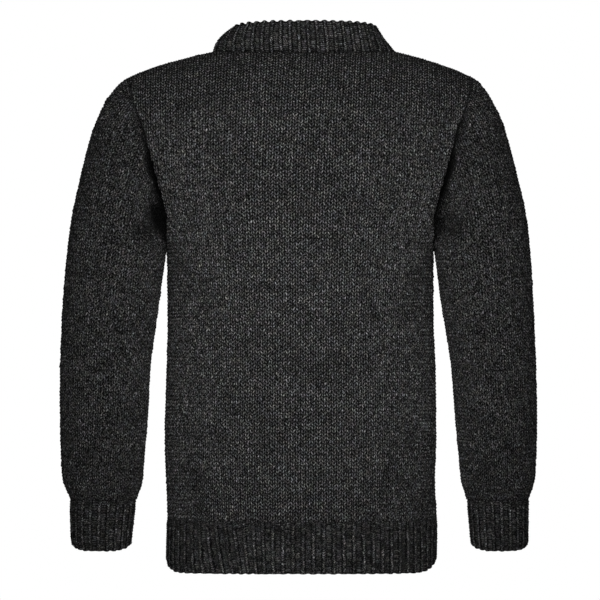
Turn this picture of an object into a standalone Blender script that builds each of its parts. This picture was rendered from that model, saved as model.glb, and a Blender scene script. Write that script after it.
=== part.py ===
"""A chunky wool sweater, filled out as it is worn and hollow all through.

Metres, +Z up.  The origin is where the shoulders carry it, at the foot of the neck.
The back faces +Y and the front faces -Y, so +X is the wearer's left.
Every piece is a knitted wall; its outside is worked out from the tables below.
"""

import math

import bmesh
import bpy
import numpy as np

SEAM_GAP = 0.0003  # between the sewn edges of two pieces
PANEL_WALL = 0.004  # one layer of the knit
RIB_WALL = 0.0045  # hem and cuffs, at the ribs' roots
BAND_WALL = 0.0065  # neckband, which is folded double

RIB_RELIEF = 0.0018  # how far a rib stands above its groove
RIB_POINTS = 3  # one in the groove and two on the crest of each rib

UNDERARM = -0.2587  # height of the lowest point of the armholes
SHOULDER = -0.0345  # height of their highest point
HEM_SEAM = -0.6156

NECK_HALF = 0.1205  # half of the neck's width along the shoulders
NECK_BACK_DROP = 0.0035  # how far the back neckline dips below the shoulders
NECK_FRONT_DROP = 0.072
NECK_SHIFT = -0.0085  # the neck sits a little to the wearer's right
BACK_ROUND = 0.14  # height over which the back rounds into the shoulders
FRONT_ROUND = 0.16
TUCK = 0.94  # the armhole seam lies a little below the cloth on each side
EVEN_HALF = 0.177  # the oval along which columns and ribs are spaced evenly
EVEN_DEPTH = 0.125

SHOULDER_COLUMNS = 6  # faces along each shoulder
BACK_NECK_COLUMNS = 10
FRONT_NECK_COLUMNS = 12
YOKE_ROWS = 12  # faces from the underarm to the shoulders
SKIRT_ROWS = 8  # faces from the hem seam to the underarm
RIBS_TO_A_COLUMN = 2  # ribs of the neckband on each face of the neckline
HEM_RIBS = 72
CUFF_RIBS = 22
HEM_LEVELS = (0, 0.4, 1)  # rings of the hem, from its edge to its seam
BAND_LEVELS = (0, 0.3, 0.62, 0.9, 1)  # rings of the neckband, from its seam to its fold

BACK, FRONT = 1, -1
LEFT, RIGHT = 1, -1


def table(names, *rows):
    """A short table as one array for each named column."""
    return dict(zip(names.split(), np.array(rows, float).T))


# half widths and depths of the torso, and how square it is; above the underarm they
# include the shoulders
BODY = table(
    "height left right back front square",
    (-0.6850, 0.1745, 0.1768, 0.1220, 0.1210, 2.00),
    (-0.6650, 0.1760, 0.1785, 0.1245, 0.1235, 2.00),
    (-0.6156, 0.1752, 0.1792, 0.1240, 0.1230, 2.00),
    (-0.5650, 0.1772, 0.1770, 0.1265, 0.1255, 2.00),
    (-0.5100, 0.1788, 0.1788, 0.1260, 0.1250, 2.02),
    (-0.4200, 0.1765, 0.1778, 0.1220, 0.1240, 2.08),
    (-0.3600, 0.1750, 0.1752, 0.1215, 0.1250, 2.18),
    (-0.3000, 0.1752, 0.1748, 0.1237, 0.1276, 2.33),
    (-0.2587, 0.1762, 0.1752, 0.1251, 0.1288, 2.45),
    (-0.2450, 0.1830, 0.1825, 0.1254, 0.1290, 2.37),
    (-0.2162, 0.2005, 0.2000, 0.1253, 0.1284, 2.18),
    (-0.1670, 0.2235, 0.2235, 0.1220, 0.1240, 2.04),
    (-0.1080, 0.2440, 0.2440, 0.1155, 0.1110, 2.00),
    (-0.0345, 0.2560, 0.2560, 0.1080, 0.1000, 2.00),
    (0.0300, 0.2560, 0.2560, 0.1080, 0.1000, 2.00),
)

# where the armhole cuts the torso, in degrees round the torso from its centre line;
# swing goes round the armhole from the underarm to the shoulder
ARMHOLE = table(
    "swing edge",
    (0, 90.0),
    (28.6, 75.0),
    (51.6, 62.0),
    (79.5, 58.1),
    (110.0, 56.9),
    (125.0, 59.1),
    (180.0, 63.0),
)

# the line over the shoulders, and how it runs on under the neck
RIDGE = table(
    "out height",
    (0.0000, 0.0200),
    (0.0600, 0.0145),
    (0.1205, 0.0000),
    (0.1600, -0.0100),
    (0.2000, -0.0225),
    (0.2280, -0.0345),
    (0.2600, -0.0500),
)

# each ring of a sleeve: its outermost and innermost points on both arms, and its depth
SLEEVE = table(
    "out_left out_right out_height in_left in_right in_height middle depth",
    (0.2400, 0.2380, -0.0435, 0.1772, 0.1764, -0.2625, 0.0000, 0.0590),
    (0.2554, 0.2518, -0.0634, 0.1780, 0.1772, -0.2665, 0.0000, 0.0640),
    (0.2686, 0.2652, -0.0898, 0.1788, 0.1780, -0.2715, 0.0000, 0.0685),
    (0.2779, 0.2735, -0.1162, 0.1794, 0.1786, -0.2770, 0.0000, 0.0705),
    (0.2862, 0.2820, -0.1480, 0.1802, 0.1794, -0.2830, 0.0000, 0.0710),
    (0.2943, 0.2905, -0.1830, 0.1812, 0.1804, -0.2900, 0.0000, 0.0705),
    (0.3012, 0.2974, -0.2150, 0.1826, 0.1818, -0.2990, -0.0005, 0.0690),
    (0.3067, 0.3022, -0.2560, 0.1844, 0.1832, -0.3120, -0.0010, 0.0670),
    (0.3113, 0.3052, -0.3000, 0.1868, 0.1858, -0.3310, -0.0015, 0.0650),
    (0.3148, 0.3082, -0.3520, 0.1916, 0.1915, -0.3650, -0.0025, 0.0625),
    (0.3172, 0.3108, -0.4150, 0.1985, 0.1994, -0.4170, -0.0050, 0.0600),
    (0.3175, 0.3120, -0.4700, 0.2010, 0.2036, -0.4700, -0.0090, 0.0580),
    (0.3168, 0.3120, -0.5230, 0.2056, 0.2082, -0.5230, -0.0145, 0.0545),
    (0.3150, 0.3100, -0.5600, 0.2086, 0.2118, -0.5600, -0.0190, 0.0515),
    (0.3108, 0.3070, -0.5790, 0.2114, 0.2150, -0.5790, -0.0215, 0.0480),
    (0.3052, 0.3022, -0.5910, 0.2165, 0.2192, -0.5910, -0.0230, 0.0430),
)

CUFF = table(
    "out_left out_right out_height in_left in_right in_height middle depth",
    (0.3040, 0.3010, -0.5910, 0.2185, 0.2212, -0.5910, -0.0230, 0.0415),
    (0.3036, 0.3006, -0.6300, 0.2232, 0.2248, -0.6300, -0.0260, 0.0400),
    (0.3020, 0.3000, -0.6490, 0.2252, 0.2266, -0.6490, -0.0275, 0.0385),
    (0.2996, 0.2980, -0.6573, 0.2268, 0.2284, -0.6573, -0.0280, 0.0375),
)
# how far a cuff's lower edge is lifted; degrees round from the outermost point
CUFF_EDGE = table(
    "turn lift",
    (0, 0.0062),
    (15, 0.0038),
    (35, 0.0012),
    (60, 0.0000),
    (120, 0.0000),
    (145, 0.0022),
    (165, 0.0052),
    (180, 0.0075),
)

# hollows in a sleeve beside the armhole, where the cloth folds in under the back and
# the front: degrees round the sleeve, ring, spreads in both, and depth
HOLLOWS = table(
    "turn ring turn_spread ring_spread deep",
    (122, 2.0, 22, 1.5, 0.014),
    (238, 2.0, 22, 1.5, 0.012),
)

# the hem's lower edge, lifted where the side seams hold it; degrees round the torso
HEM_EDGE = table(
    "turn left right",
    (0, -0.6823, -0.6823),
    (40, -0.6832, -0.6832),
    (60, -0.6838, -0.6836),
    (68, -0.6833, -0.6820),
    (75, -0.6812, -0.6782),
    (82, -0.6775, -0.6725),
    (90, -0.6700, -0.6640),
)

# the neckband's upper edge, in degrees round from the centre of the back
BAND_TOP = table(
    "round height",
    (0, 0.0385),
    (35, 0.0377),
    (60, 0.0358),
    (90, 0.0300),
    (120, 0.0080),
    (150, -0.0200),
    (180, -0.0300),
)
BAND_TOP_HALF = 0.0950
BAND_TOP_SHIFT = -0.0060
BAND_TOP_BACK = 0.0470
BAND_TOP_FRONT = 0.0820
BAND_BULGE = 0.0025  # the band stands out this far between its seam and its fold
BAND_BULGE_LEFT = 0.0025  # and this much more or less on the two sides

CHARCOAL = (0.030, 0.029, 0.029, 1.0)
CHARCOAL_RIB = (0.024, 0.0235, 0.0235, 1.0)


def smooth(rows, key, name, at):
    """Read a column between its rows, on a curve that never overshoots them."""
    x, y = rows[key], rows[name]
    step = np.diff(x)
    grade = np.diff(y) / step
    pairs = grade[:-1] * grade[1:]
    middle = np.where(pairs > 0, 2 * pairs / np.where(pairs > 0, grade[:-1] + grade[1:], 1), 0)
    slope = np.concatenate(([grade[0]], middle, [grade[-1]]))
    at = np.clip(at, x[0], x[-1])
    i = np.clip(np.searchsorted(x, at, side="right") - 1, 0, len(x) - 2)
    t = (at - x[i]) / step[i]
    start = (1 + 2 * t) * (1 - t) ** 2 * y[i] + t * (1 - t) ** 2 * step[i] * slope[i]
    return start + t * t * (3 - 2 * t) * y[i + 1] - t * t * (1 - t) * step[i] * slope[i + 1]


def unit(vectors):
    return vectors / np.linalg.norm(vectors, axis=-1, keepdims=True)


def even_turns(fractions, half=EVEN_HALF, depth=EVEN_DEPTH):
    """Angles round half an oval, -90 to 90 degrees, for even steps along its edge."""
    turn = np.linspace(-math.pi / 2, math.pi / 2, 721)
    stride = np.hypot(half * np.cos(turn), depth * np.sin(turn))
    along = np.concatenate(([0], np.cumsum((stride[1:] + stride[:-1]) / 2)))
    return np.interp(fractions, along / along[-1] * 2 - 1, turn)


# ---- torso


def half_width(height, side_sign):
    left = smooth(BODY, "height", "left", height)
    right = smooth(BODY, "height", "right", height)
    blend = (1 + side_sign) / 2
    return left * blend + right * (1 - blend)


def swing_at(height):
    """Degrees round the armhole from the underarm, for a height."""
    middle, reach = (SHOULDER + UNDERARM) / 2, (SHOULDER - UNDERARM) / 2
    return np.degrees(np.arccos(np.clip((middle - height) / reach, -1, 1)))


def edge_turn(height):
    """Where the panel ends, in radians round the torso; a right angle at the side seam."""
    return np.radians(smooth(ARMHOLE, "swing", "edge", swing_at(height)))


def shoulder_round(x, height, face):
    """1 on the upright cloth, falling to 0 on the line over the shoulders."""
    reach = BACK_ROUND if face == BACK else FRONT_ROUND
    below = np.clip((smooth(RIDGE, "out", "height", abs(x)) - height) / reach, 0, 1)
    return np.sqrt(1 - (1 - below) ** 2)


def torso_at(across, height, face):
    """A point of the torso's outside: across goes from -1 to 1, edge to edge."""
    out = np.sin(even_turns(across) * edge_turn(height) / (math.pi / 2))
    x = half_width(height, np.sign(across)) * out
    depth = smooth(BODY, "height", "back" if face == BACK else "front", height)
    square = smooth(BODY, "height", "square", height)
    y = depth * np.clip(1 - abs(out) ** square, 0, 1) ** (1 / square)
    return x, face * y * shoulder_round(x, height, face)


def top_x(across):
    turn = even_turns(across) * edge_turn(SHOULDER) / (math.pi / 2)
    return half_width(SHOULDER, LEFT) * np.sin(turn)


def neck_across():
    """How far across the panel the neckline reaches."""
    fractions = np.linspace(0, 1, 400)
    return float(np.interp(NECK_HALF, top_x(fractions), fractions))


def neckline_height(x, face):
    inside = np.clip(1 - (abs(x) / NECK_HALF) ** 2.2, 0, 1)
    if face == BACK:
        return -NECK_BACK_DROP * inside
    return -NECK_FRONT_DROP * inside**0.75


def panel_point(across, level, face):
    """Below the underarm a level is metres down; above it, 0 to 1 up to the panel's top."""
    x = top_x(across)
    on_neck = abs(across) < neck_across() - 1e-6
    top = np.where(on_neck, neckline_height(x, face), smooth(RIDGE, "out", "height", abs(x)))
    height = UNDERARM + np.where(level > 0, level * (top - UNDERARM), level)
    x, y = torso_at(across, height, face)
    x = x + NECK_SHIFT * (1 - across**2) ** 2 * np.clip(level, 0, 1) ** 2
    return np.stack([x, y, height], axis=-1)


def armhole(swing, face, side):
    """The armhole seam at degrees up from the underarm, with its directions into the
    opening and across the seam towards the sleeve."""
    swing = np.asarray(swing, float)
    middle, reach = (SHOULDER + UNDERARM) / 2, (SHOULDER - UNDERARM) / 2

    def seam(at):
        height = middle - reach * np.cos(np.radians(at))
        x, y = torso_at(np.full(np.shape(at), float(side)), height, face)
        return np.stack([x, y * TUCK, height], axis=-1)

    points = seam(swing)
    centre = (seam(np.array(0.0)) + seam(np.array(180.0))) / 2
    inward = unit(centre - points)
    along = unit(seam(np.clip(swing + 1, 0, 180)) - seam(np.clip(swing - 1, 0, 180)))
    # the two ends of the seam run straight across from the back to the front
    ends = (swing < 0.5) | (swing > 179.5)
    along = np.where(ends[..., None], np.array([0.0, face, 0.0]), along)
    across = unit(np.cross(along, inward))
    across = across * np.sign(across[..., :1] * side)
    return points, inward, across


def neckline(face, count):
    """The neckline seam from the wearer's left to right, with its two directions."""
    fractions = np.linspace(1, -1, count + 1) * neck_across()
    points = panel_point(fractions, np.ones(count + 1), face)
    out = fractions / neck_across()
    back_part = np.sqrt(np.clip(1 - out**2, 0, 1))
    inward = -unit(np.stack([0.45 * out, 0.85 * face * back_part, 0.62 + 0 * out], axis=-1))
    along = unit(np.gradient(points, axis=0))
    along[0] = along[-1] = (0, face, 0)
    across = unit(np.cross(along, inward))
    across = across * np.sign(across[:, 2:])
    return points, inward, across


def grid_normals(points, closed):
    """Unit normals of a grid of points; rows go up and columns go round."""
    if closed:
        side = np.roll(points, -1, axis=1) - np.roll(points, 1, axis=1)
    else:
        side = np.gradient(points, axis=1)
    return unit(np.cross(side, np.gradient(points, axis=0)))


def panel(face):
    """Outside and inside points of the back or the front."""
    neck_columns = BACK_NECK_COLUMNS if face == BACK else FRONT_NECK_COLUMNS
    edge = neck_across()
    shoulder = np.linspace(1, edge, SHOULDER_COLUMNS + 1)
    neck = np.linspace(edge, -edge, neck_columns + 1)[1:-1]
    across = np.concatenate([shoulder, neck, -shoulder[::-1]])
    swings = np.linspace(0, 180, YOKE_ROWS + 1)
    yoke = (1 - np.cos(np.radians(swings))) / 2
    skirt = np.linspace(HEM_SEAM - UNDERARM, 0, SKIRT_ROWS + 1)[:-1]
    levels = np.concatenate([skirt, yoke])

    outer = panel_point(across[None, :] + 0 * levels[:, None], levels[:, None] + 0 * across, face)
    inward = grid_normals(outer, closed=False)
    inward *= -np.sign((inward * [0.3, 1, 0.3])[SKIRT_ROWS, len(across) // 2].sum() * face)

    # the sewn edges: hem, sides, shoulders, armholes and neckline
    inward[0, :, 2] = 0
    inward[0] = unit(inward[0])
    outer[0, :, 2] += SEAM_GAP / 2
    for column, side in ((0, LEFT), (-1, RIGHT)):
        inward[:SKIRT_ROWS, column] = (-side, 0, 0)
        outer[:SKIRT_ROWS, column, 1] += face * SEAM_GAP / 2
        points, into, over = armhole(swings, face, side)
        outer[SKIRT_ROWS:, column] = points - over * SEAM_GAP / 2
        outer[[SKIRT_ROWS, -1], column, 1] += face * SEAM_GAP / 2
        inward[SKIRT_ROWS:, column] = into
    ridge = np.zeros_like(outer[-1])
    slope = smooth(RIDGE, "out", "height", abs(outer[-1, :, 0]) + 0.001)
    slope = (slope - smooth(RIDGE, "out", "height", abs(outer[-1, :, 0]) - 0.001)) / 0.002
    ridge[:, 0] = slope * np.sign(outer[-1, :, 0])
    ridge[:, 2] = -1
    seam = [*range(1, SHOULDER_COLUMNS), *range(-SHOULDER_COLUMNS, -1)]
    inward[-1, seam] = unit(ridge)[seam]
    outer[-1, seam, 1] += face * SEAM_GAP / 2
    points, into, over = neckline(face, neck_columns)
    neck = slice(SHOULDER_COLUMNS, SHOULDER_COLUMNS + neck_columns + 1)
    outer[-1, neck] = points - over * SEAM_GAP / 2
    outer[-1, [SHOULDER_COLUMNS, SHOULDER_COLUMNS + neck_columns], 1] += face * SEAM_GAP / 2
    inward[-1, neck] = into
    return outer, outer + inward * PANEL_WALL


# ---- sleeves and cuffs


def ring_points(rows, turns, side):
    """Points of the rings in a table: turns go from the outside round by the back."""
    arm = "left" if side == LEFT else "right"
    outside = np.stack([side * rows["out_" + arm], rows["middle"], rows["out_height"]], axis=-1)
    inside = np.stack([side * rows["in_" + arm], rows["middle"], rows["in_height"]], axis=-1)
    middle, reach = (outside + inside) / 2, (outside - inside) / 2
    points = middle[:, None] + reach[:, None] * np.cos(turns)[None, :, None]
    points[..., 1] += rows["depth"][:, None] * np.sin(turns)
    return points, middle[:, None]


def sleeve(side):
    """Outside and inside points of a sleeve, from its cuff seam up to the armhole."""
    columns = 2 * YOKE_ROWS
    turns = np.arange(columns) * 2 * math.pi / columns
    rings, middles = ring_points(SLEEVE, turns, side)
    degrees, number = np.degrees(turns)[None, :], np.arange(1, len(rings) + 1)[:, None]
    for k in range(len(HOLLOWS["turn"])):
        turn_part = ((degrees - HOLLOWS["turn"][k]) / HOLLOWS["turn_spread"][k]) ** 2
        ring_part = ((number - HOLLOWS["ring"][k]) / HOLLOWS["ring_spread"][k]) ** 2
        push = HOLLOWS["deep"][k] * np.exp(-turn_part - ring_part)
        rings += unit(middles - rings) * push[..., None]

    top, into, over = [], [], []
    for degree in np.degrees(turns):
        face = BACK if degree <= 180 else FRONT
        swing = 180 - degree if degree <= 180 else degree - 180
        for store, value in zip((top, into, over), armhole(swing, face, side)):
            store.append(value)
    seam = np.array(top) + np.array(over) * SEAM_GAP / 2
    outer = np.concatenate([rings[::-1], seam[None]])
    inward = grid_normals(outer, closed=True)
    towards = middles[::-1] - outer[:-1]
    inward[:-1] *= np.sign((inward[:-1] * towards).sum(-1, keepdims=True))
    inward[-1] = into
    inward[0, :, 2] = 0
    inward[0] = unit(inward[0])
    outer[0, :, 2] += SEAM_GAP / 2
    return outer, outer + inward * PANEL_WALL


def ribbed(base, closed_inward, ribs, wall):
    """Raise ribs on the outer points over a plain inside."""
    columns = base.shape[1]
    phase = (np.arange(columns) * ribs / columns) % 1
    crest = np.where(phase < 1e-6, 0.0, 1.0)
    outer = base - closed_inward * (RIB_RELIEF * crest)[None, :, None]
    return outer, base + closed_inward * wall


def cuff(side):
    """Outside and inside points of a ribbed cuff, from its edge up to its seam."""
    columns = CUFF_RIBS * RIB_POINTS
    turns = np.arange(columns) * 2 * math.pi / columns
    rings, middles = ring_points(CUFF, turns, side)
    rings, middles = rings[::-1].copy(), middles[::-1]
    rings[-1, :, 2] -= SEAM_GAP / 2
    rings[0, :, 2] += smooth(CUFF_EDGE, "turn", "lift", np.degrees(np.arccos(np.cos(turns))))
    inward = grid_normals(rings, closed=True)
    inward *= np.sign((inward * (middles - rings)).sum(-1, keepdims=True))
    inward[..., 2] = 0
    return ribbed(rings, unit(inward), CUFF_RIBS, RIB_WALL)


# ---- hem and neckband


def hem():
    """Outside and inside points of the ribbed hem, a tube from its edge up to its seam."""
    half = HEM_RIBS * RIB_POINTS // 2
    across = 1 - np.arange(half) * 2 / half
    turn = abs(np.degrees(even_turns(across)))
    left, right = (smooth(HEM_EDGE, "turn", side, turn) for side in ("left", "right"))
    edge = np.where(across > 0, left, right)
    rings = []
    for rise in HEM_LEVELS:
        height = edge + (HEM_SEAM - SEAM_GAP / 2 - edge) * rise
        loop = []
        for face, fractions, level in ((BACK, across, height), (FRONT, -across, height[::-1])):
            loop.append(np.stack([*torso_at(fractions, level, face), level], axis=-1))
        rings.append(np.concatenate(loop))
    rings = np.array(rings)
    inward = grid_normals(rings, closed=True)
    inward *= np.sign((inward * -rings).sum(-1, keepdims=True))
    inward[..., 2] = 0
    return ribbed(rings, unit(inward), HEM_RIBS, RIB_WALL)


def band_seam(face, neck_columns):
    """The neckband's lower edge, on straight runs between the neckline's corners."""
    runs = RIBS_TO_A_COLUMN * RIB_POINTS
    corners = np.arange(neck_columns + 1) * runs
    wanted = np.arange(neck_columns * runs)
    points, inward, across = neckline(face, neck_columns)
    if face == FRONT:
        points, inward, across = points[::-1], inward[::-1], across[::-1]

    def between(values):
        return np.stack([np.interp(wanted, corners, values[:, i]) for i in range(3)], axis=-1)

    return between(points + across * SEAM_GAP / 2), between(inward)


def neckband():
    """Outside and inside points of the neckband, from its seam up to its fold."""
    seam, into, around = [], [], []
    for face, neck_columns in ((BACK, BACK_NECK_COLUMNS), (FRONT, FRONT_NECK_COLUMNS)):
        points, inward = band_seam(face, neck_columns)
        seam.append(points)
        into.append(inward)
        depth = BAND_TOP_BACK if face == BACK else BAND_TOP_FRONT
        steps = 1 - np.arange(len(points)) * 2 / len(points)
        turn = even_turns(steps, BAND_TOP_HALF, depth)
        around.append(turn if face == BACK else math.pi + turn)
    seam, into, around = (np.concatenate(parts) for parts in (seam, into, around))

    depth = np.where(np.cos(around) > 0, BAND_TOP_BACK, BAND_TOP_FRONT)
    degrees = abs(np.degrees((around + math.pi) % (2 * math.pi) - math.pi))
    edge = np.stack(
        [
            BAND_TOP_SHIFT + BAND_TOP_HALF * np.sin(around),
            depth * np.cos(around),
            smooth(BAND_TOP, "round", "height", degrees),
        ],
        axis=-1,
    )
    outwards = np.stack([np.sin(around), np.cos(around), 0.4 + 0 * around], axis=-1)
    bulge = (BAND_BULGE + BAND_BULGE_LEFT * np.sin(around))[:, None] * unit(outwards)
    rings = []
    for rise in BAND_LEVELS:
        rings.append(seam + (edge - seam) * rise + bulge * 4 * rise * (1 - rise))
    rings = np.array(rings)
    inward = grid_normals(rings, closed=True)
    centre = np.array([BAND_TOP_SHIFT, -0.02, 0.0])
    inward *= np.sign((inward * (centre - rings)).sum(-1, keepdims=True))
    inward[0] = into
    ribs = RIBS_TO_A_COLUMN * (BACK_NECK_COLUMNS + FRONT_NECK_COLUMNS)
    outer, inner = ribbed(rings, inward, ribs, BAND_WALL)
    # the seam edge lies on the panels' edge, and the fold is rounded over
    outer[0] = rings[0]
    fold = BAND_WALL * 0.3
    outer[-1] += inward[-1] * fold
    inner[-1] -= inward[-1] * fold
    return outer, inner


# ---- solids


def knit_material(name, colour):
    material = bpy.data.materials.new(name)
    material.use_nodes = True
    shader = material.node_tree.nodes["Principled BSDF"]
    shader.inputs["Base Color"].default_value = colour
    shader.inputs["Roughness"].default_value = 0.95
    shader.inputs["Metallic"].default_value = 0.0
    return material


def wall(name, outer, inner, closed, colour):
    """Join outside and inside points into one closed wall."""
    rows, columns = outer.shape[:2]
    form = bmesh.new()
    sheets = []
    for sheet in (outer, inner):
        sheets.append([[form.verts.new(point) for point in row] for row in sheet])
    spans = columns if closed else columns - 1
    for i in range(rows - 1):
        for j in range(spans):
            k = (j + 1) % columns
            for sheet in sheets:
                form.faces.new((sheet[i][j], sheet[i][k], sheet[i + 1][k], sheet[i + 1][j]))
    out, into = sheets
    for i in (0, rows - 1):
        for j in range(spans):
            k = (j + 1) % columns
            form.faces.new((out[i][j], out[i][k], into[i][k], into[i][j]))
    if not closed:
        for j in (0, columns - 1):
            for i in range(rows - 1):
                form.faces.new((out[i][j], out[i + 1][j], into[i + 1][j], into[i][j]))
    bmesh.ops.recalc_face_normals(form, faces=form.faces[:])
    if form.calc_volume(signed=True) < 0:
        bmesh.ops.reverse_faces(form, faces=form.faces[:])
    mesh = bpy.data.meshes.new(name)
    form.to_mesh(mesh)
    form.free()
    mesh.shade_smooth()
    mesh.set_sharp_from_angle(angle=math.radians(50))
    mesh.materials.append(knit_material(name + "_wool", colour))
    piece = bpy.data.objects.new(name, mesh)
    bpy.context.scene.collection.objects.link(piece)
    return piece


def main():
    for leftover in list(bpy.data.objects):
        bpy.data.objects.remove(leftover)
    wall("back_panel", *panel(BACK), closed=False, colour=CHARCOAL)
    wall("front_panel", *panel(FRONT), closed=False, colour=CHARCOAL)
    wall("sleeve_left", *sleeve(LEFT), closed=True, colour=CHARCOAL)
    wall("sleeve_right", *sleeve(RIGHT), closed=True, colour=CHARCOAL)
    wall("cuff_left", *cuff(LEFT), closed=True, colour=CHARCOAL_RIB)
    wall("cuff_right", *cuff(RIGHT), closed=True, colour=CHARCOAL_RIB)
    wall("hem_rib", *hem(), closed=True, colour=CHARCOAL_RIB)
    wall("neckband", *neckband(), closed=True, colour=CHARCOAL_RIB)


main()
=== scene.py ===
import math

import bmesh
import bpy
import numpy as np
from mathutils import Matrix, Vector


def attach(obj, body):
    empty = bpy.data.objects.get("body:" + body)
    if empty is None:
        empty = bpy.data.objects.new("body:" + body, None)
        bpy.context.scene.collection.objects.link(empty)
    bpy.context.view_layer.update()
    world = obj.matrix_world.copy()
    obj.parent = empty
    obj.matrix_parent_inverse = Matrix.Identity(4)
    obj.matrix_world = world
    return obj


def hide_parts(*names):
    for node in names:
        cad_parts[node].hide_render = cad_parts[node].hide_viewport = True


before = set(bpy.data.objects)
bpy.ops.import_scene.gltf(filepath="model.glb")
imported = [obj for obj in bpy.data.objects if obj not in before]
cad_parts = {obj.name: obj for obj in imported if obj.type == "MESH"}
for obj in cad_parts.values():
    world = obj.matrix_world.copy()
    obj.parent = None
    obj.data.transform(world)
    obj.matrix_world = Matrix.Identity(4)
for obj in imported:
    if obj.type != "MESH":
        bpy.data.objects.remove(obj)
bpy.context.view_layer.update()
print("frame loaded:", ", ".join(sorted(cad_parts)))

back, front = 1, -1
left, right = 1, -1
faceName = {back: "back", front: "front"}
sideName = {left: "left", right: "right"}


def table(names, *rows):  # one array for each named column
    return dict(zip(names.split(), np.array(rows, float).T))


# the form that the knitting lies on, the same as the solids', in metres
torso = {
    "underarm": -0.2587,  # lowest point of the armholes
    "shoulder": -0.0345,  # their highest point
    "hemSeam": -0.6156,
    "neckHalf": 0.1205,
    "neckBackDrop": 0.0035,
    "neckFrontDrop": 0.072,
    "neckRound": 2.2,
    "neckFrontRound": 0.75,
    "neckShift": -0.0085,  # towards the wearer's right
    "backRound": 0.14,  # height over which the cloth rounds into the shoulders
    "frontRound": 0.16,
    "tuck": 0.06,  # the armhole seam lies this share below the cloth on each side,
    "tuckTop": 0.004,  # and this above the arm's back,
    "tuckFrom": -0.165,  # from here up
    "tuckOver": 0.06,
    "evenHalf": 0.177,
    "evenDepth": 0.125,
    "sideWales": 36,  # stitches from the middle of a panel to its side
    "evenOver": 0.10,  # height above the underarm over which they come to one width
    "body": table(
        "height left right back front square",
        (-0.6850, 0.1745, 0.1768, 0.1220, 0.1210, 2.00),
        (-0.6650, 0.1760, 0.1785, 0.1245, 0.1235, 2.00),
        (-0.6156, 0.1752, 0.1792, 0.1240, 0.1230, 2.00),
        (-0.5650, 0.1772, 0.1770, 0.1265, 0.1255, 2.00),
        (-0.5100, 0.1788, 0.1788, 0.1260, 0.1250, 2.02),
        (-0.4200, 0.1765, 0.1778, 0.1220, 0.1240, 2.08),
        (-0.3600, 0.1750, 0.1752, 0.1215, 0.1250, 2.18),
        (-0.3000, 0.1752, 0.1748, 0.1237, 0.1276, 2.33),
        (-0.2587, 0.1762, 0.1752, 0.1251, 0.1288, 2.45),
        (-0.2450, 0.1830, 0.1825, 0.1254, 0.1290, 2.37),
        (-0.2162, 0.2005, 0.2000, 0.1253, 0.1284, 2.18),
        (-0.1670, 0.2235, 0.2235, 0.1220, 0.1240, 2.04),
        (-0.1080, 0.2440, 0.2440, 0.1155, 0.1110, 2.00),
        (-0.0345, 0.2560, 0.2560, 0.1080, 0.1000, 2.00),
        (0.0300, 0.2560, 0.2560, 0.1080, 0.1000, 2.00),
    ),
    "armhole": table(  # where it cuts the torso, in degrees round from the centre line
        "swing edge", (0, 90.0), (28.6, 75.0), (51.6, 62.0), (79.5, 58.1), (110.0, 56.9),
        (125.0, 59.1), (180.0, 63.0),
    ),
    "ridge": table(  # the line over the shoulders
        "out height", (0.0000, 0.0200), (0.0600, 0.0145), (0.1205, 0.0000), (0.1600, -0.0100),
        (0.2000, -0.0225), (0.2280, -0.0345), (0.2600, -0.0500),
    ),
}

# one stitch has four columns (gap, leg, middle, leg) and two rows (crest, groove)
stitch = {
    "course": 0.0047,  # height of a stitch
    "wale": 0.00726,  # width of a stitch at the yoke
    "lean": (0.5, 0.0, -0.5, 0.0),  # in courses, so that the legs stand in a V
    "crest": (0.0000, 0.0013, 0.0005, 0.0013),
    "groove": (-0.0010, 0.0001, -0.0006, 0.0001),
    "uneven": 0.00022,  # how far stitches differ from each other
    "unevenSize": 0.20,
    "rollWidth": 0.008,  # the cloth rolls into an armhole seam over this width
    "sideSeam": 0.0012,  # and this far into a side seam
    "seamFade": 0.004,
    "seamRelief": 0.3,
    "edgeMargin": 0.12,  # in stitches
    "wall": 0.004,
    "start": (200, 20),  # stitch and course at the foot of the middle, in the UV map
}

# the armhole seam lies at the bottom of a fold, under the torso's edge
armholeFold = {
    "lip": 0.0018,  # width over which the torso's edge turns down into it
    "lipTop": 0.0080,  # the same above the arm's back, where it is a shallow hollow
    "topFrom": -0.145,
    "topOver": 0.03,
    "topDeep": 0.8,  # share of the depth that the torso's side lacks there
    "wobble": 0.0013,  # the edge isn't straight
    "wobbleLong": (0.0016, 0.0027),
    "wobbleReach": 0.02,
    "frontShare": 0.75,
    # painted shade: the cloth in the fold is painted darker the deeper it lies
    "black": 0.0095,  # depth at which no more light is left than this:
    "least": 0.05,
    "leastRight": 0.18,  # added at the right armpit
    "armpitFrom": -0.185,
    "armpitOver": 0.02,
    "rows": table(  # how far the sleeve dips beside the seam, and how deep
        "height left right deep",
        (-0.2587, 0.0060, 0.0060, 0.0000),
        (-0.2530, 0.0085, 0.0080, 0.0060),
        (-0.2468, 0.0110, 0.0100, 0.0080),
        (-0.2389, 0.0200, 0.0150, 0.0080),
        (-0.2310, 0.0275, 0.0180, 0.0150),
        (-0.2231, 0.0280, 0.0190, 0.0310),
        (-0.2072, 0.0260, 0.0185, 0.0340),
        (-0.1914, 0.0155, 0.0140, 0.0290),
        (-0.1756, 0.0105, 0.0110, 0.0250),
        (-0.1597, 0.0130, 0.0130, 0.0220),
        (-0.1439, 0.0150, 0.0145, 0.0140),
        (-0.1280, 0.0120, 0.0120, 0.0085),
        (-0.1170, 0.0120, 0.0120, 0.0062),
        (-0.1000, 0.0110, 0.0110, 0.0052),
        (-0.0850, 0.0090, 0.0090, 0.0030),
        (-0.0730, 0.0060, 0.0060, 0.0002),
        (-0.0345, 0.0040, 0.0040, 0.0000),
    ),
}


def creaseTable(*rows):  # tilt in degrees from level, and half of the length and width
    return table("x height tilt long wide deep", *rows)
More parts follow.
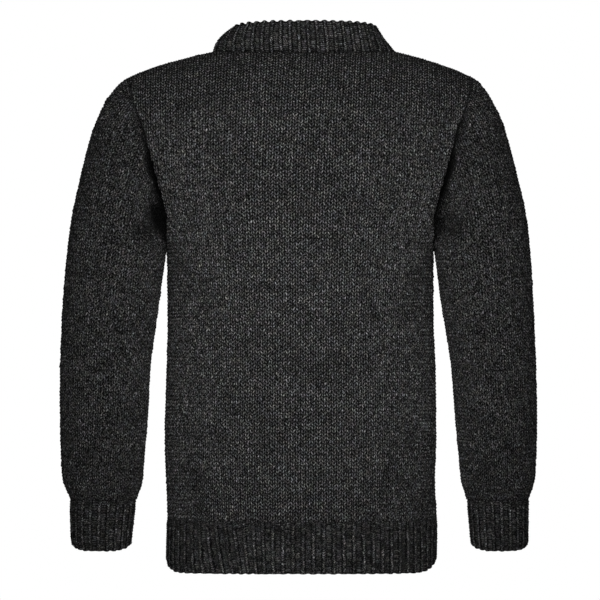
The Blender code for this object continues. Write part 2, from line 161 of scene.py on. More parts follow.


# soft creases, placed one by one
creases = {
    "back_panel": creaseTable(
        (0.128, -0.062, -32, 0.045, 0.011, 0.0022),
        (-0.066, -0.088, 82, 0.036, 0.009, 0.0016),
        (-0.140, -0.110, 40, 0.034, 0.010, 0.0018),
        (0.147, -0.292, 62, 0.046, 0.009, 0.0022),
        (0.118, -0.345, 74, 0.038, 0.012, 0.0016),
        (-0.150, -0.318, 118, 0.052, 0.010, 0.0022),
        (0.060, -0.480, 18, 0.060, 0.013, 0.0014),
        (-0.050, -0.410, -12, 0.055, 0.015, 0.0012),
        (-0.112, -0.560, 100, 0.034, 0.008, 0.0020),
        (0.137, -0.566, 76, 0.036, 0.009, 0.0026),
        (-0.150, -0.585, 60, 0.026, 0.007, 0.0020),
        (0.140, -0.545, 80, 0.062, 0.030, 0.0011),
        (-0.136, -0.545, 100, 0.062, 0.032, 0.0015),
        (0.000, -0.175, 5, 0.070, 0.035, 0.0010),
    ),
    "front_panel": creaseTable(
        (0.120, -0.095, -38, 0.042, 0.011, 0.0022),
        (-0.116, -0.088, 36, 0.046, 0.010, 0.0020),
        (0.030, -0.135, 74, 0.036, 0.012, 0.0014),
        (0.148, -0.300, 66, 0.044, 0.009, 0.0024),
        (-0.147, -0.286, 112, 0.050, 0.010, 0.0020),
        (-0.112, -0.352, 100, 0.034, 0.012, 0.0016),
        (0.055, -0.430, -16, 0.062, 0.014, 0.0014),
        (-0.070, -0.500, 14, 0.050, 0.012, 0.0014),
        (0.126, -0.570, 84, 0.032, 0.008, 0.0022),
        (-0.138, -0.566, 108, 0.036, 0.009, 0.0026),
        (0.138, -0.545, 82, 0.062, 0.030, 0.0013),
        (-0.138, -0.540, 97, 0.060, 0.030, 0.0012),
    ),
    "sleeve_left_back": creaseTable(
        (0.2110, -0.1010, 69, 0.022, 0.0048, 0.0042),
        (0.2080, -0.2340, -28, 0.017, 0.0065, 0.0045),
        (0.1885, -0.2470, 39, 0.011, 0.0035, -0.0030),
        (0.1960, -0.2550, 42, 0.010, 0.0022, 0.0030),
        (0.2040, -0.2620, 40, 0.009, 0.0020, 0.0024),
        (0.2500, -0.2480, -14, 0.026, 0.0070, 0.0018),
        (0.2350, -0.3550, 20, 0.022, 0.0080, 0.0020),
        (0.2620, -0.4150, -24, 0.026, 0.0080, 0.0016),
        (0.2750, -0.5300, -40, 0.024, 0.0060, 0.0022),
        (0.2400, -0.5480, 30, 0.022, 0.0050, 0.0020),
        (0.1960, -0.2350, -20, 0.021, 0.0170, 0.0045),
    ),
    "sleeve_right_back": creaseTable(
        (-0.2115, -0.0980, 111, 0.022, 0.0048, 0.0042),
        (-0.2050, -0.2250, 40, 0.016, 0.0065, 0.0036),
        (-0.1900, -0.2500, 140, 0.011, 0.0030, -0.0018),
        (-0.2080, -0.2420, 35, 0.012, 0.0030, 0.0018),
        (-0.2460, -0.2660, 16, 0.026, 0.0070, 0.0018),
        (-0.2300, -0.3700, -22, 0.024, 0.0080, 0.0020),
        (-0.2650, -0.4400, 20, 0.026, 0.0080, 0.0016),
        (-0.2780, -0.5240, 44, 0.022, 0.0060, 0.0022),
        (-0.2420, -0.5520, -26, 0.022, 0.0050, 0.0020),
        (-0.1950, -0.2330, 20, 0.020, 0.0160, 0.0040),
    ),
    "sleeve_left_front": creaseTable(
        (0.2120, -0.1060, 66, 0.024, 0.0050, 0.0036),
        (0.2030, -0.2280, -30, 0.018, 0.0055, 0.0050),
        (0.1950, -0.2520, 36, 0.011, 0.0026, 0.0018),
        (0.2450, -0.3050, -18, 0.028, 0.0075, 0.0022),
        (0.2380, -0.3420, -8, 0.022, 0.0070, 0.0020),
        (0.2650, -0.3900, 22, 0.024, 0.0080, 0.0016),
        (0.2600, -0.5350, -30, 0.026, 0.0060, 0.0022),
    ),
    "sleeve_right_front": creaseTable(
        (-0.2110, -0.1010, 113, 0.022, 0.0050, 0.0036),
        (-0.2050, -0.2310, 36, 0.017, 0.0055, 0.0050),
        (-0.1960, -0.2560, 142, 0.010, 0.0026, 0.0016),
        (-0.2420, -0.2950, 14, 0.026, 0.0075, 0.0022),
        (-0.2360, -0.3380, 4, 0.022, 0.0070, 0.0020),
        (-0.2680, -0.4050, -20, 0.024, 0.0080, 0.0016),
        (-0.2560, -0.5400, 28, 0.026, 0.0060, 0.0022),
    ),
}

# painted shade and painted light: how much darker (over the hem and the cuffs, under the shoulders) or lighter
# (the sleeve caps, beside the seam) the cloth is painted there, and over what length
shading = {
    "crease": (0.009, 0.45, 1.15),  # depth that takes all light, and the least and most that is left
    "overHem": (0.14, 0.075),
    "underShoulder": (0.16, 0.06),
    "shoulderOut": (0.10, 0.05),  # from where to the sides, and over what width
    "overCuff": (0.12, 0.14),
    "cap": (0.30, 0.07),
    "capFrom": -0.125,
    "seam": (0.45, 0.005),  # painted light beside the seam, so that over the shoulders the seam doesn't show
    "seamFrom": -0.105,
    "seamOver": 0.04,
}


def creaseDepth(rows, x, height):
    deep = np.zeros(x.shape)
    for k in range(len(rows["x"])):
        tilt = math.radians(rows["tilt"][k])
        across, up = x - rows["x"][k], height - rows["height"][k]
        along = (across * math.cos(tilt) + up * math.sin(tilt)) / rows["long"][k]
        off = (up * math.cos(tilt) - across * math.sin(tilt)) / rows["wide"][k]
        off = off + 0.5 * along**2 * (1 if k % 2 else -1)  # a slight bow
        deep += rows["deep"][k] * np.exp(-(along**4) - off**2)
    return deep


def smooth(rows, key, name, at):  # a column read between its rows, without overshoot
    x, y = rows[key], rows[name]
    step = np.diff(x)
    grade = np.diff(y) / step
    pairs = grade[:-1] * grade[1:]
    middle = np.where(pairs > 0, 2 * pairs / np.where(pairs > 0, grade[:-1] + grade[1:], 1), 0)
    slope = np.concatenate(([grade[0]], middle, [grade[-1]]))
    at = np.clip(at, x[0], x[-1])
    i = np.clip(np.searchsorted(x, at, side="right") - 1, 0, len(x) - 2)
    t = (at - x[i]) / step[i]
    start = (1 + 2 * t) * (1 - t) ** 2 * y[i] + t * (1 - t) ** 2 * step[i] * slope[i]
    return start + t * t * (3 - 2 * t) * y[i + 1] - t * t * (1 - t) * step[i] * slope[i + 1]


def unit(vectors):
    return vectors / np.maximum(np.linalg.norm(vectors, axis=-1, keepdims=True), 1e-12)


def ease(x):  # 0 to 1, level at both ends
    x = np.clip(x, 0, 1)
    return x * x * (3 - 2 * x)


def columnsAt(wanted, known, values):  # each column of values read between its rows
    return np.stack([np.interp(wanted, known, column) for column in values.T], axis=-1)


def lengthAlong(stride):  # from 0 at the first point of each row
    return np.concatenate([np.zeros((len(stride), 1)), np.cumsum(stride, axis=1)], axis=1)


# ---- the torso's form


def evenTurns(fractions, half=torso["evenHalf"], depth=torso["evenDepth"]):
    turn = np.linspace(-math.pi / 2, math.pi / 2, 721)
    stride = np.hypot(half * np.cos(turn), depth * np.sin(turn))
    along = np.concatenate(([0], np.cumsum((stride[1:] + stride[:-1]) / 2)))
    return np.interp(fractions, along / along[-1] * 2 - 1, turn)


def halfWidth(height, side):
    blend = (1 + side) / 2
    leftWidth = smooth(torso["body"], "height", "left", height)
    rightWidth = smooth(torso["body"], "height", "right", height)
    return leftWidth * blend + rightWidth * (1 - blend)


def armholeReach():  # the middle of an armhole's height, and half of it
    return (torso["shoulder"] + torso["underarm"]) / 2, (torso["shoulder"] - torso["underarm"]) / 2


def edgeTurn(height):
    middle, reach = armholeReach()
    swing = np.degrees(np.arccos(np.clip((middle - height) / reach, -1, 1)))
    return np.radians(smooth(torso["armhole"], "swing", "edge", swing))


def ridgeHeight(x):
    return smooth(torso["ridge"], "out", "height", abs(x))


def shoulderRound(x, height, face):
    below = np.clip((ridgeHeight(x) - height) / torso[faceName[face] + "Round"], 0, 1)
    return np.sqrt(1 - (1 - below) ** 2)


def torsoAt(across, height, face, rounded=True):  # across: 1 at the wearer's left to -1
    out = np.sin(evenTurns(across) * edgeTurn(height) / (math.pi / 2))
    x = halfWidth(height, np.sign(across)) * out
    depth = smooth(torso["body"], "height", faceName[face], height)
    square = smooth(torso["body"], "height", "square", height)
    y = depth * np.clip(1 - abs(out) ** square, 0, 1) ** (1 / square)
    return x, face * y * (shoulderRound(x, height, face) if rounded else 1)


def topX(across):
    turn = evenTurns(across) * edgeTurn(torso["shoulder"]) / (math.pi / 2)
    return halfWidth(torso["shoulder"], left) * np.sin(turn)


def neckAcross():
    fractions = np.linspace(0, 1, 400)
    return float(np.interp(torso["neckHalf"], topX(fractions), fractions))


def necklineHeight(x, face):
    inside = np.clip(1 - (abs(x) / torso["neckHalf"]) ** torso["neckRound"], 0, 1)
    if face == back:
        return -torso["neckBackDrop"] * inside
    return -torso["neckFrontDrop"] * inside ** torso["neckFrontRound"]


def panelPoint(across, level, face):  # below the underarm in metres, above it 0 to 1
    x = topX(across)
    onNeck = abs(across) < neckAcross() - 1e-6
    top = np.where(onNeck, necklineHeight(x, face), ridgeHeight(x))
    underarm = torso["underarm"]
    height = underarm + np.where(level > 0, level * (top - underarm), level)
    x, y = torsoAt(across, height, face)
    x = x + torso["neckShift"] * (1 - across**2) ** 2 * np.clip(level, 0, 1) ** 2
    return np.stack([x, y, height], axis=-1)


def tucked(height):
    upper = ease((height - torso["tuckFrom"]) / torso["tuckOver"])
    return 1 - torso["tuck"] + (torso["tuck"] - torso["tuckTop"]) * upper


def armholeSeam(swing, face, side):  # swing: degrees round it from the underarm
    middle, reach = armholeReach()
    height = middle - reach * np.cos(np.radians(swing))
    x, y = torsoAt(np.full(np.shape(swing), float(side)), height, face)
    return np.stack([x, y * tucked(height), height], axis=-1)


def surfaceNormals(points, closed):
    if closed:
        side = np.roll(points, -1, axis=1) - np.roll(points, 1, axis=1)
    else:
        side = np.gradient(points, axis=1)
    return unit(np.cross(side, np.gradient(points, axis=0)))


# ---- knitted shells


def waleLines(reach):  # four lines of points to a stitch, out to both sides
    return np.arange(reach * 8 + 1) / 4 - reach


def bySide(wales, values):  # of the side that each line lies on
    return np.where(wales[None, :] < 0, values[left][:, None], values[right][:, None])


def climb(place, inside, middle):  # how far up the knitting each point lies
    lines = place.shape[1]
    time = np.zeros(place.shape[:2])
    step = np.linalg.norm(np.diff(place, axis=0), axis=-1)
    order = [middle, *range(middle - 1, -1, -1), *range(middle + 1, lines)]
    for c in order:
        if inside[:, c].all():
            time[1:, c] = np.cumsum(step[:, c])
            continue
        nearer = c + 1 if c < middle else c - 1
        borrowed = np.interp(place[:, c, 2], place[:, nearer, 2], time[:, nearer])
        for v in range(1, len(place)):
            if inside[v, c] and inside[v - 1, c]:
                time[v, c] = time[v - 1, c] + step[v - 1, c]
            else:
                time[v, c] = borrowed[v]
    return np.maximum.accumulate(time + np.arange(len(place))[:, None] * 1e-9, axis=0)


def lattice(form, columnStep, rowStep, lean):  # every crossing of a column and a row of the knitting
    course, time = stitch["course"], form["time"]
    columns = np.arange(0, time.shape[1], columnStep)
    rows = np.arange(-2, int(2 * time.max() / course) + 6, rowStep)
    shift = np.array([lean[c % 4] for c in columns])
    up = np.clip((rows[:, None] / 2 + shift[None, :]) * course, 0, time[-1, columns][None, :])
    index = np.arange(len(time), dtype=float)
    v = np.stack([np.interp(up[:, k], time[:, c], index) for k, c in enumerate(columns)], axis=-1)
    return columns, rows, up, v


def outsidePoints(form, columns, v):  # which crossings lie past the piece's sides
    wales = form["wales"][columns]
    index = np.arange(len(form["time"]))
    edge = {side: np.interp(v, index, form["edge"][side]) for side in (left, right)}
    outside = abs(wales) > np.where(wales < 0, edge[left], edge[right]) - stitch["edgeMargin"]
    return outside


def knitSheet(form, columnStep, rowStep, lean):
    # one side of the cloth: its points by name, as (number, line, v, row, up), and its faces
    columns, rows, up, v = lattice(form, columnStep, rowStep, lean)
    time = form["time"]
    last = len(time) - 1
    outside = outsidePoints(form, columns, v)
    spots, ids = {}, np.empty(up.shape, int)

    def spot(name, line, vAt, row, upAt):
        return spots.setdefault(name, (len(spots), line, vAt, row, upAt))[0]

    def sideSpot(side, row):  # one point for each row, on a side edge
        line = 0 if side == left else time.shape[1] - 1
        climbed = min(max(row / 2 * stitch["course"], 0), time[last, line])
        vAt = np.interp(climbed, time[:, line], np.arange(last + 1, dtype=float))
        if climbed <= 0:
            return spot(("bottom", line), line, vAt, row, climbed)
        name = ("corner", side) if climbed >= time[last, line] else ("side", side, row)
        return spot(name, line, vAt, row, climbed)

    for k, c in enumerate(columns):
        side = left if form["wales"][c] < 0 else right
        for i, row in enumerate(rows):
            if outside[i, k]:
                ids[i, k] = sideSpot(side, row)
            elif up[i, k] <= 0:
                ids[i, k] = spot(("bottom", c), c, 0.0, 0, 0.0)
            elif up[i, k] >= time[last, c]:
                ids[i, k] = spot(("top", c), c, float(last), row, time[last, c])
            else:
                ids[i, k] = spot(("in", row, c), c, v[i, k], row, up[i, k])
    faces = []
    for below, above in zip(ids[:-1].tolist(), ids[1:].tolist()):
        for k in range(len(below) - 1):
            a, b, c, d = below[k], below[k + 1], above[k + 1], above[k]
            face = [p for p, q in ((a, d), (b, a), (c, b), (d, c)) if p != q]
            if len(face) > 2 and len(set(face)) == len(face):
                faces.append(face)
    return spots, faces


def rimNames(form, spots):  # the names of the points round the sheet's edge, in order
    lines = range(form["time"].shape[1])
    bottom, top = ([(end, c) for c in lines if (end, c) in spots] for end in ("bottom", "top"))
    sides = {}
    for side in (left, right):
        found = sorted((n for n in spots if n[0] == "side" and n[1] == side), key=lambda n: n[2])
        sides[side] = found + [("corner", side)]
    return bottom + sides[right] + top[::-1] + sides[left][::-1]


def placeSpots(form, spots, seed, knitted):
    _, lines, v, rows, up = map(np.array, zip(*spots.values()))
    low = np.clip(np.floor(v).astype(int), 0, len(form["time"]) - 2)
    part = v - low

    def read(values):
        share = part[:, None] if values.ndim == 3 else part
        return values[low, lines] * (1 - share) + values[low + 1, lines] * share

    points, normals, near = read(form["place"]), unit(read(form["normal"])), read(form["near"])
    shade = read(form["shade"])
    wales, courses = form["wales"][lines], up / stitch["course"]
    uv = np.stack([wales + stitch["start"][0], courses + stitch["start"][1]], axis=-1)
    if not knitted:
        return points - normals * stitch["wall"], uv, shade
    crest, groove = np.array(stitch["crest"])[lines % 4], np.array(stitch["groove"])[lines % 4]
    relief = stitch["seamRelief"] + (1 - stitch["seamRelief"]) * ease(near / stitch["seamFade"])
    heights = np.where(rows % 2 == 0, crest, groove) * relief
    spread = np.random.RandomState(seed).normal(0, 1, (400, 400, 3))
    waleAt, courseAt = np.floor(wales).astype(int) % 400, np.floor(courses).astype(int) % 400
    order = form["order"][lines]
    jitter = spread[courseAt, waleAt] * (stitch["uneven"] * relief * (1.7 - order))[:, None]
    size = 1 + stitch["unevenSize"] * spread[courseAt, (waleAt + 7) % 400, 0]
    heights = heights * (size * (0.35 + 0.65 * order))
    return points + normals * heights[:, None] + jitter, uv, shade


def knitShell(name, form, seed):
    # a closed shell: knitted outside, plainer inside, joined round every edge
    spots, faces = knitSheet(form, 1, 1, stitch["lean"])
    insideSpots, insideFaces = knitSheet(form, 4, 2, (0, 0, 0, 0))
    outside = placeSpots(form, spots, seed, True)
    inside = placeSpots(form, insideSpots, seed, False)
    shift = len(spots)
    faces += [[p + shift for p in face] for face in insideFaces]
    rim, insideRim = rimNames(form, spots), rimNames(form, insideSpots)
    position = {key: i for i, key in enumerate(rim)}
    for key, nextKey in zip(insideRim, insideRim[1:] + insideRim[:1]):
        start, end = position[key], position[nextKey]
        run = [rim[(start + j) % len(rim)] for j in range((end - start) % len(rim) + 1)]
        strip = [spots[n][0] for n in run]
        faces.append(strip + [insideSpots[nextKey][0] + shift, insideSpots[key][0] + shift])
    purl = np.repeat([0.0, 1.0], [len(spots), len(insideSpots)])
    points, uv, shade = (np.concatenate(pair) for pair in zip(outside, inside))
    return makeMesh(name, points, faces, uv, purl, shade)


def makeMesh(name, points, faces, uv, purl, shade):
    mesh = bpy.data.meshes.new(name)
    mesh.from_pydata(points.tolist(), [], faces)
    corners = np.empty(len(mesh.loops), np.int32)
    mesh.loops.foreach_get("vertex_index", corners)
    layer = mesh.uv_layers.new(name="knit")
    layer.data.foreach_set("uv", uv[corners].astype(np.float32).ravel())
    for key, values in (("purl", purl), ("shade", shade)):
        stored = mesh.attributes.new(key, "FLOAT", "POINT")
        stored.data.foreach_set("value", values.astype(np.float32))
    solid = bmesh.new()
    solid.from_mesh(mesh)
    bmesh.ops.recalc_face_normals(solid, faces=solid.faces[:])
    if solid.calc_volume(signed=True) < 0:
        bmesh.ops.reverse_faces(solid, faces=solid.faces[:])
    openEdges = sum(1 for e in solid.edges if len(e.link_faces) != 2)
    solid.to_mesh(mesh)
    solid.free()
    mesh.shade_smooth()
    piece = bpy.data.objects.new(name, mesh)
    bpy.context.scene.collection.objects.link(piece)
    triangles = sum(len(p.vertices) - 2 for p in mesh.polygons)
    print(name, len(mesh.vertices), "points,", triangles, "triangles,", openEdges, "open edges")
    return piece


# painted shade: the deeper the cloth lies in the armhole fold, the darker it is painted, down to least
def foldShade(deep, least):
    return 1 - (1 - least) * ease(deep / armholeFold["black"])


def creaseShade(deep):  # less light reaches into a crease
    black, least, most = shading["crease"]
    return np.clip(1 - deep / black, least, most)


def shadeBy(name, distance):  # the share of a painted shade or painted light, falling off with the distance
    share, over = shading[name]
    return share * ease(1 - distance / over)


# painted light beside the armhole seam over the shoulders
def seamShade(near, height):
    return 1 + shadeBy("seam", near) * ease((height - shading["seamFrom"]) / shading["seamOver"])


# ---- the two panels

panelGrid = {
    "columns": 401,
    "skirtRows": 90,  # hem seam to underarm
    "yokeRows": 50,
    "shoulderRows": 140,  # closer together towards the shoulders
    "shoulderFrom": 0.4,  # share of the height above the underarm
    "evenStitches": (0.85, 0.45, 6, 20),  # at the middle, at the sides, and from where over how many
    "creaseEdge": 0.02,  # creases fade out over this from the edges
}


def panelSurface(face):  # rows from the hem seam to the shoulders, and how far along each point lies
    across = np.linspace(1, -1, panelGrid["columns"])
    skirt = np.linspace(torso["hemSeam"] - torso["underarm"], 0, panelGrid["skirtRows"])[:-1]
    yoke = np.linspace(0, panelGrid["shoulderFrom"], panelGrid["yokeRows"])[:-1]
    bend = np.radians(np.linspace(90, 0, panelGrid["shoulderRows"]))
    upper = 1 - (1 - panelGrid["shoulderFrom"]) * (1 - np.cos(bend))
    levels = np.concatenate([skirt, yoke, upper])
    across, levels = np.meshgrid(across, levels)
    surface = panelPoint(across, levels, face)
    middle = panelGrid["columns"] // 2
    normals = surfaceNormals(surface, closed=False)
    normals *= np.sign(normals[len(skirt) // 2, middle, 1] * face)
    x, y = torsoAt(across, surface[..., 2], face, rounded=False)
    along = lengthAlong(np.hypot(np.diff(x, axis=1), np.diff(y, axis=1)))
    return surface, normals, along - along[:, middle:middle + 1], len(skirt)


def panelFold(height, toSide, face):  # how deep the torso's edge turns down at the armhole
    fold = armholeFold
    long, longer = fold["wobbleLong"]
    wobble = np.sin(height / long) + np.sin(height / longer + face)
    toLip = toSide - fold["wobble"] * wobble * (toSide < fold["wobbleReach"])
    upper = ease((height - fold["topFrom"]) / fold["topOver"])
    lip = 1 - np.clip(toLip / (fold["lip"] + (fold["lipTop"] - fold["lip"]) * upper), 0, 1)
    deep = smooth(fold["rows"], "height", "deep", height) * (1 - fold["topDeep"] * upper)
    return deep * ((1 if face == back else fold["frontShare"]) * (1 - np.sqrt(1 - lip**2)))


def panelForm(face):
    surface, normals, along, underarmRow = panelSurface(face)
    above = np.clip(surface[:, panelGrid["columns"] // 2, 2] - torso["underarm"], 0, 1)
    yoke = np.arange(len(surface)) > underarmRow
    pitch, edge = {}, {}
    for side, column in ((left, 0), (right, -1)):
        length = abs(along[:, column])
        skirtPitch = length / torso["sideWales"]
        low = skirtPitch[underarmRow]
        yokePitch = low + (stitch["wale"] - low) * ease(above / torso["evenOver"])
        pitch[side] = np.where(yoke, yokePitch, skirtPitch)
        edge[side] = length / pitch[side]
    wale = np.where(along < 0, along / pitch[left][:, None], along / pitch[right][:, None])
    reach = torso["sideWales"] + 2
    wales = waleLines(reach)
    place = np.stack([columnsAt(wales, *row) for row in zip(wale, surface)])
    normal = np.stack([columnsAt(wales, *row) for row in zip(wale, normals)])
    edgeOf, pitchOf = bySide(wales, edge), bySide(wales, pitch)
    time = climb(place, abs(wales)[None, :] < edgeOf - 1e-9, reach * 4)
    toSide = np.clip(edgeOf - abs(wales)[None, :], 0, 99) * pitchOf
    toTop = time[-1][None, :] - time

    roll = 1 - np.sqrt(1 - (1 - np.clip(toSide / stitch["rollWidth"], 0, 1)) ** 2)
    yoke = yoke[:, None]
    place[..., 1] *= 1 - (1 - tucked(place[..., 2])) * roll * yoke
    place -= unit(normal) * (stitch["sideSeam"] * roll * ~yoke)[..., None]
    deep = panelFold(place[..., 2], toSide, face) * yoke
    place[..., 1] -= face * deep
    crease = creaseDepth(creases[faceName[face] + "_panel"], place[..., 0], place[..., 2])
    crease *= ease(np.minimum(toSide, toTop) / panelGrid["creaseEdge"]) * ease(time / panelGrid["creaseEdge"])
    place[..., 1] -= face * crease

    # painted shade in the armhole fold and the creases, towards the hem and under the shoulders, and painted
    # light beside the armhole seam over the shoulders
    shade = foldShade(deep, armholeFold["least"]) * creaseShade(crease)
    shade *= 1 - shadeBy("overHem", time)
    outFrom, outOver = shading["shoulderOut"]
    shade *= 1 - shadeBy("underShoulder", toTop) * ease((abs(place[..., 0]) - outFrom) / outOver)
    shade *= seamShade(toSide, place[..., 2])
    evenMiddle, evenSide, evenFrom, evenOver = panelGrid["evenStitches"]
    return {
        "place": place,
        "normal": unit(normal),
        "time": time,
        "wales": wales,
        "edge": edge,
        "near": np.minimum(toSide, toTop),
        "shade": shade,
        "order": evenMiddle - (evenMiddle - evenSide) * ease((abs(wales) - evenFrom) / evenOver),
    }


# ---- sleeves

ringColumns = "out_left out_right out_height in_left in_right in_height middle depth"
arm = {
    "rings": table(
        ringColumns,
        (0.2400, 0.2380, -0.0435, 0.1772, 0.1764, -0.2625, 0.0000, 0.0590),
        (0.2554, 0.2518, -0.0634, 0.1780, 0.1772, -0.2665, 0.0000, 0.0640),
        (0.2686, 0.2652, -0.0898, 0.1788, 0.1780, -0.2715, 0.0000, 0.0685),
        (0.2779, 0.2735, -0.1162, 0.1794, 0.1786, -0.2770, 0.0000, 0.0705),
        (0.2862, 0.2820, -0.1480, 0.1802, 0.1794, -0.2830, 0.0000, 0.0710),
        (0.2943, 0.2905, -0.1830, 0.1812, 0.1804, -0.2900, 0.0000, 0.0705),
        (0.3012, 0.2974, -0.2150, 0.1826, 0.1818, -0.2990, -0.0005, 0.0690),
        (0.3067, 0.3022, -0.2560, 0.1844, 0.1832, -0.3120, -0.0010, 0.0670),
        (0.3113, 0.3052, -0.3000, 0.1868, 0.1858, -0.3310, -0.0015, 0.0650),
        (0.3148, 0.3082, -0.3520, 0.1916, 0.1915, -0.3650, -0.0025, 0.0625),
        (0.3172, 0.3108, -0.4150, 0.1985, 0.1994, -0.4170, -0.0050, 0.0600),
        (0.3175, 0.3120, -0.4700, 0.2010, 0.2036, -0.4700, -0.0090, 0.0580),
        (0.3168, 0.3120, -0.5230, 0.2056, 0.2082, -0.5230, -0.0145, 0.0545),
        (0.3150, 0.3100, -0.5600, 0.2086, 0.2118, -0.5600, -0.0190, 0.0515),
        (0.3108, 0.3070, -0.5790, 0.2114, 0.2150, -0.5790, -0.0215, 0.0480),
        (0.3052, 0.3022, -0.5910, 0.2165, 0.2192, -0.5910, -0.0230, 0.0430),
    ),
    "hollows": table(
        "turn ring turn_spread ring_spread deep",
        (122, 2.0, 22, 1.5, 0.014),
        (238, 2.0, 22, 1.5, 0.012),
    ),
    "halfWales": 28,  # stitches round the back or the front half of a sleeve
    "levels": 340,
    "seamFlat": 0.003,  # no crease crosses the seam
    "order": 0.4,
    "drawn": (0.0022, 0.028),  # the cuff draws the sleeve in by this, over this length,
    "drawnBack": (0.0016, 0.010),  # and less beside the seam
}


def ringPoints(rows, turns, side):
    which = sideName[side]
    outside = np.stack([side * rows["out_" + which], rows["middle"], rows["out_height"]], axis=-1)
    inside = np.stack([side * rows["in_" + which], rows["middle"], rows["in_height"]], axis=-1)
    middle, reach = (outside + inside) / 2, (outside - inside) / 2
    points = middle[:, None] + reach[:, None] * np.cos(turns)[None, :, None]
    points[..., 1] += rows["depth"][:, None] * np.sin(turns)
    return points, middle


def through(points, at):  # a smooth curve through rows of points, read at row numbers
    last = len(points) - 1
    i = np.clip(np.floor(at).astype(int), 0, last - 1)
    spread = (-1, *([1] * (points.ndim - 1)))
    t = (at - i).reshape(spread)
    first, final = (i == 0).reshape(spread), (i == last - 1).reshape(spread)
    before = np.where(first, 2 * points[0] - points[1], points[np.maximum(i - 1, 0)])
    after = np.where(final, 2 * points[-1] - points[-2], points[np.minimum(i + 2, last)])
    a, b = points[i], points[i + 1]
    return 0.5 * (2 * a + (b - before) * t + (2 * before - 5 * a + 4 * b - after) * t**2
                  + (3 * a - before - 3 * b + after) * t**3)


def sleeveForms(side, turns):  # rings from the cuff seam up to the armhole seam, and their middles
    degrees = np.degrees(turns)
    rings, middles = ringPoints(arm["rings"], turns, side)
    backSeam = armholeSeam(np.clip(180 - degrees, 0, 180), back, side)
    frontSeam = armholeSeam(np.clip(degrees - 180, 0, 180), front, side)
    seam = np.where((degrees <= 180)[:, None], backSeam, frontSeam)
    loops = np.concatenate([rings[::-1], seam[None]])
    centres = np.concatenate([middles[::-1], seam.mean(axis=0)[None]])
    at = np.concatenate([np.linspace(0, 12, 121)[:-1], np.linspace(12, 16, 161)])
    surface, centre = through(loops, at), through(centres, at)[:, None]
    number = (len(loops) - 1 - at)[:, None]
    rows = arm["hollows"]
    for k in range(len(rows["turn"])):
        turnPart = ((degrees[None, :] - rows["turn"][k]) / rows["turn_spread"][k]) ** 2
        ringPart = ((number - rows["ring"][k]) / rows["ring_spread"][k]) ** 2
        push = rows["deep"][k] * np.exp(-turnPart - ringPart) * ease(number)
        surface += unit(centre - surface) * push[..., None]
    return surface, centre, seam, at


def sleeveSurface(side, turns):  # with the fold beside the armhole seam and the creases, and their painted shade
    surface, centre, seam, at = sleeveForms(side, turns)
    onBack = np.degrees(turns) <= 180
    order = np.argsort(seam[:361, 2])
    beside = np.interp(surface[..., 2], seam[order, 2], abs(seam[order, 0]))
    fromSeam = np.clip(abs(surface[..., 0]) - beside, 0, 1)
    fold = armholeFold["rows"]
    width = smooth(fold, "height", sideName[side], surface[..., 2])
    deep = smooth(fold, "height", "deep", surface[..., 2]) * (1 - ease(fromSeam / width))
    deep = deep * np.where(onBack, 1, armholeFold["frontShare"])[None, :]
    toFace = np.where(onBack, back, front)[None, :]
    surface[..., 1] -= toFace * deep
    backCrease, frontCrease = (
        creaseDepth(creases[f"sleeve_{sideName[side]}_{face}"], surface[..., 0], surface[..., 2])
        for face in ("back", "front")
    )
    crease = np.where(onBack, backCrease, frontCrease)
    crease *= ease(fromSeam / arm["seamFlat"]) * ease(at)[:, None] * ease(abs(np.sin(turns)) / 0.3)[None, :]
    surface[..., 1] -= toFace * crease
    # painted shade in the fold and the creases, left less dark at the right armpit
    armpit = ease((armholeFold["armpitFrom"] - surface[..., 2]) / armholeFold["armpitOver"])
    least = armholeFold["least"] + armholeFold["leastRight"] * armpit * (side == right)
    shade = foldShade(deep, least) * creaseShade(crease)
    normals = surfaceNormals(surface, closed=False)
    normals *= np.sign(((surface - centre)[60, 90] * normals[60, 90]).sum())
    return surface, normals, shade


def levelCuts(surface, normals, shade, columns, levels):
    # the surface cut at each height, from the outside of the arm round to its underside
    values = np.concatenate([surface, normals, shade[..., None]], axis=-1)[:, columns]
    heights = np.maximum.accumulate(values[..., 2] + np.arange(len(values))[:, None] * 1e-9, axis=0)
    seamAt = np.argsort(heights[-1])
    ends = columnsAt(levels, heights[-1][seamAt], values[-1, seamAt])
    cuts = np.empty((len(levels), len(columns), 7))
    for c in range(len(columns)):
        reached = (levels <= heights[-1, c])[:, None]
        cuts[:, c] = np.where(reached, columnsAt(levels, heights[:, c], values[:, c]), ends)
    return cuts


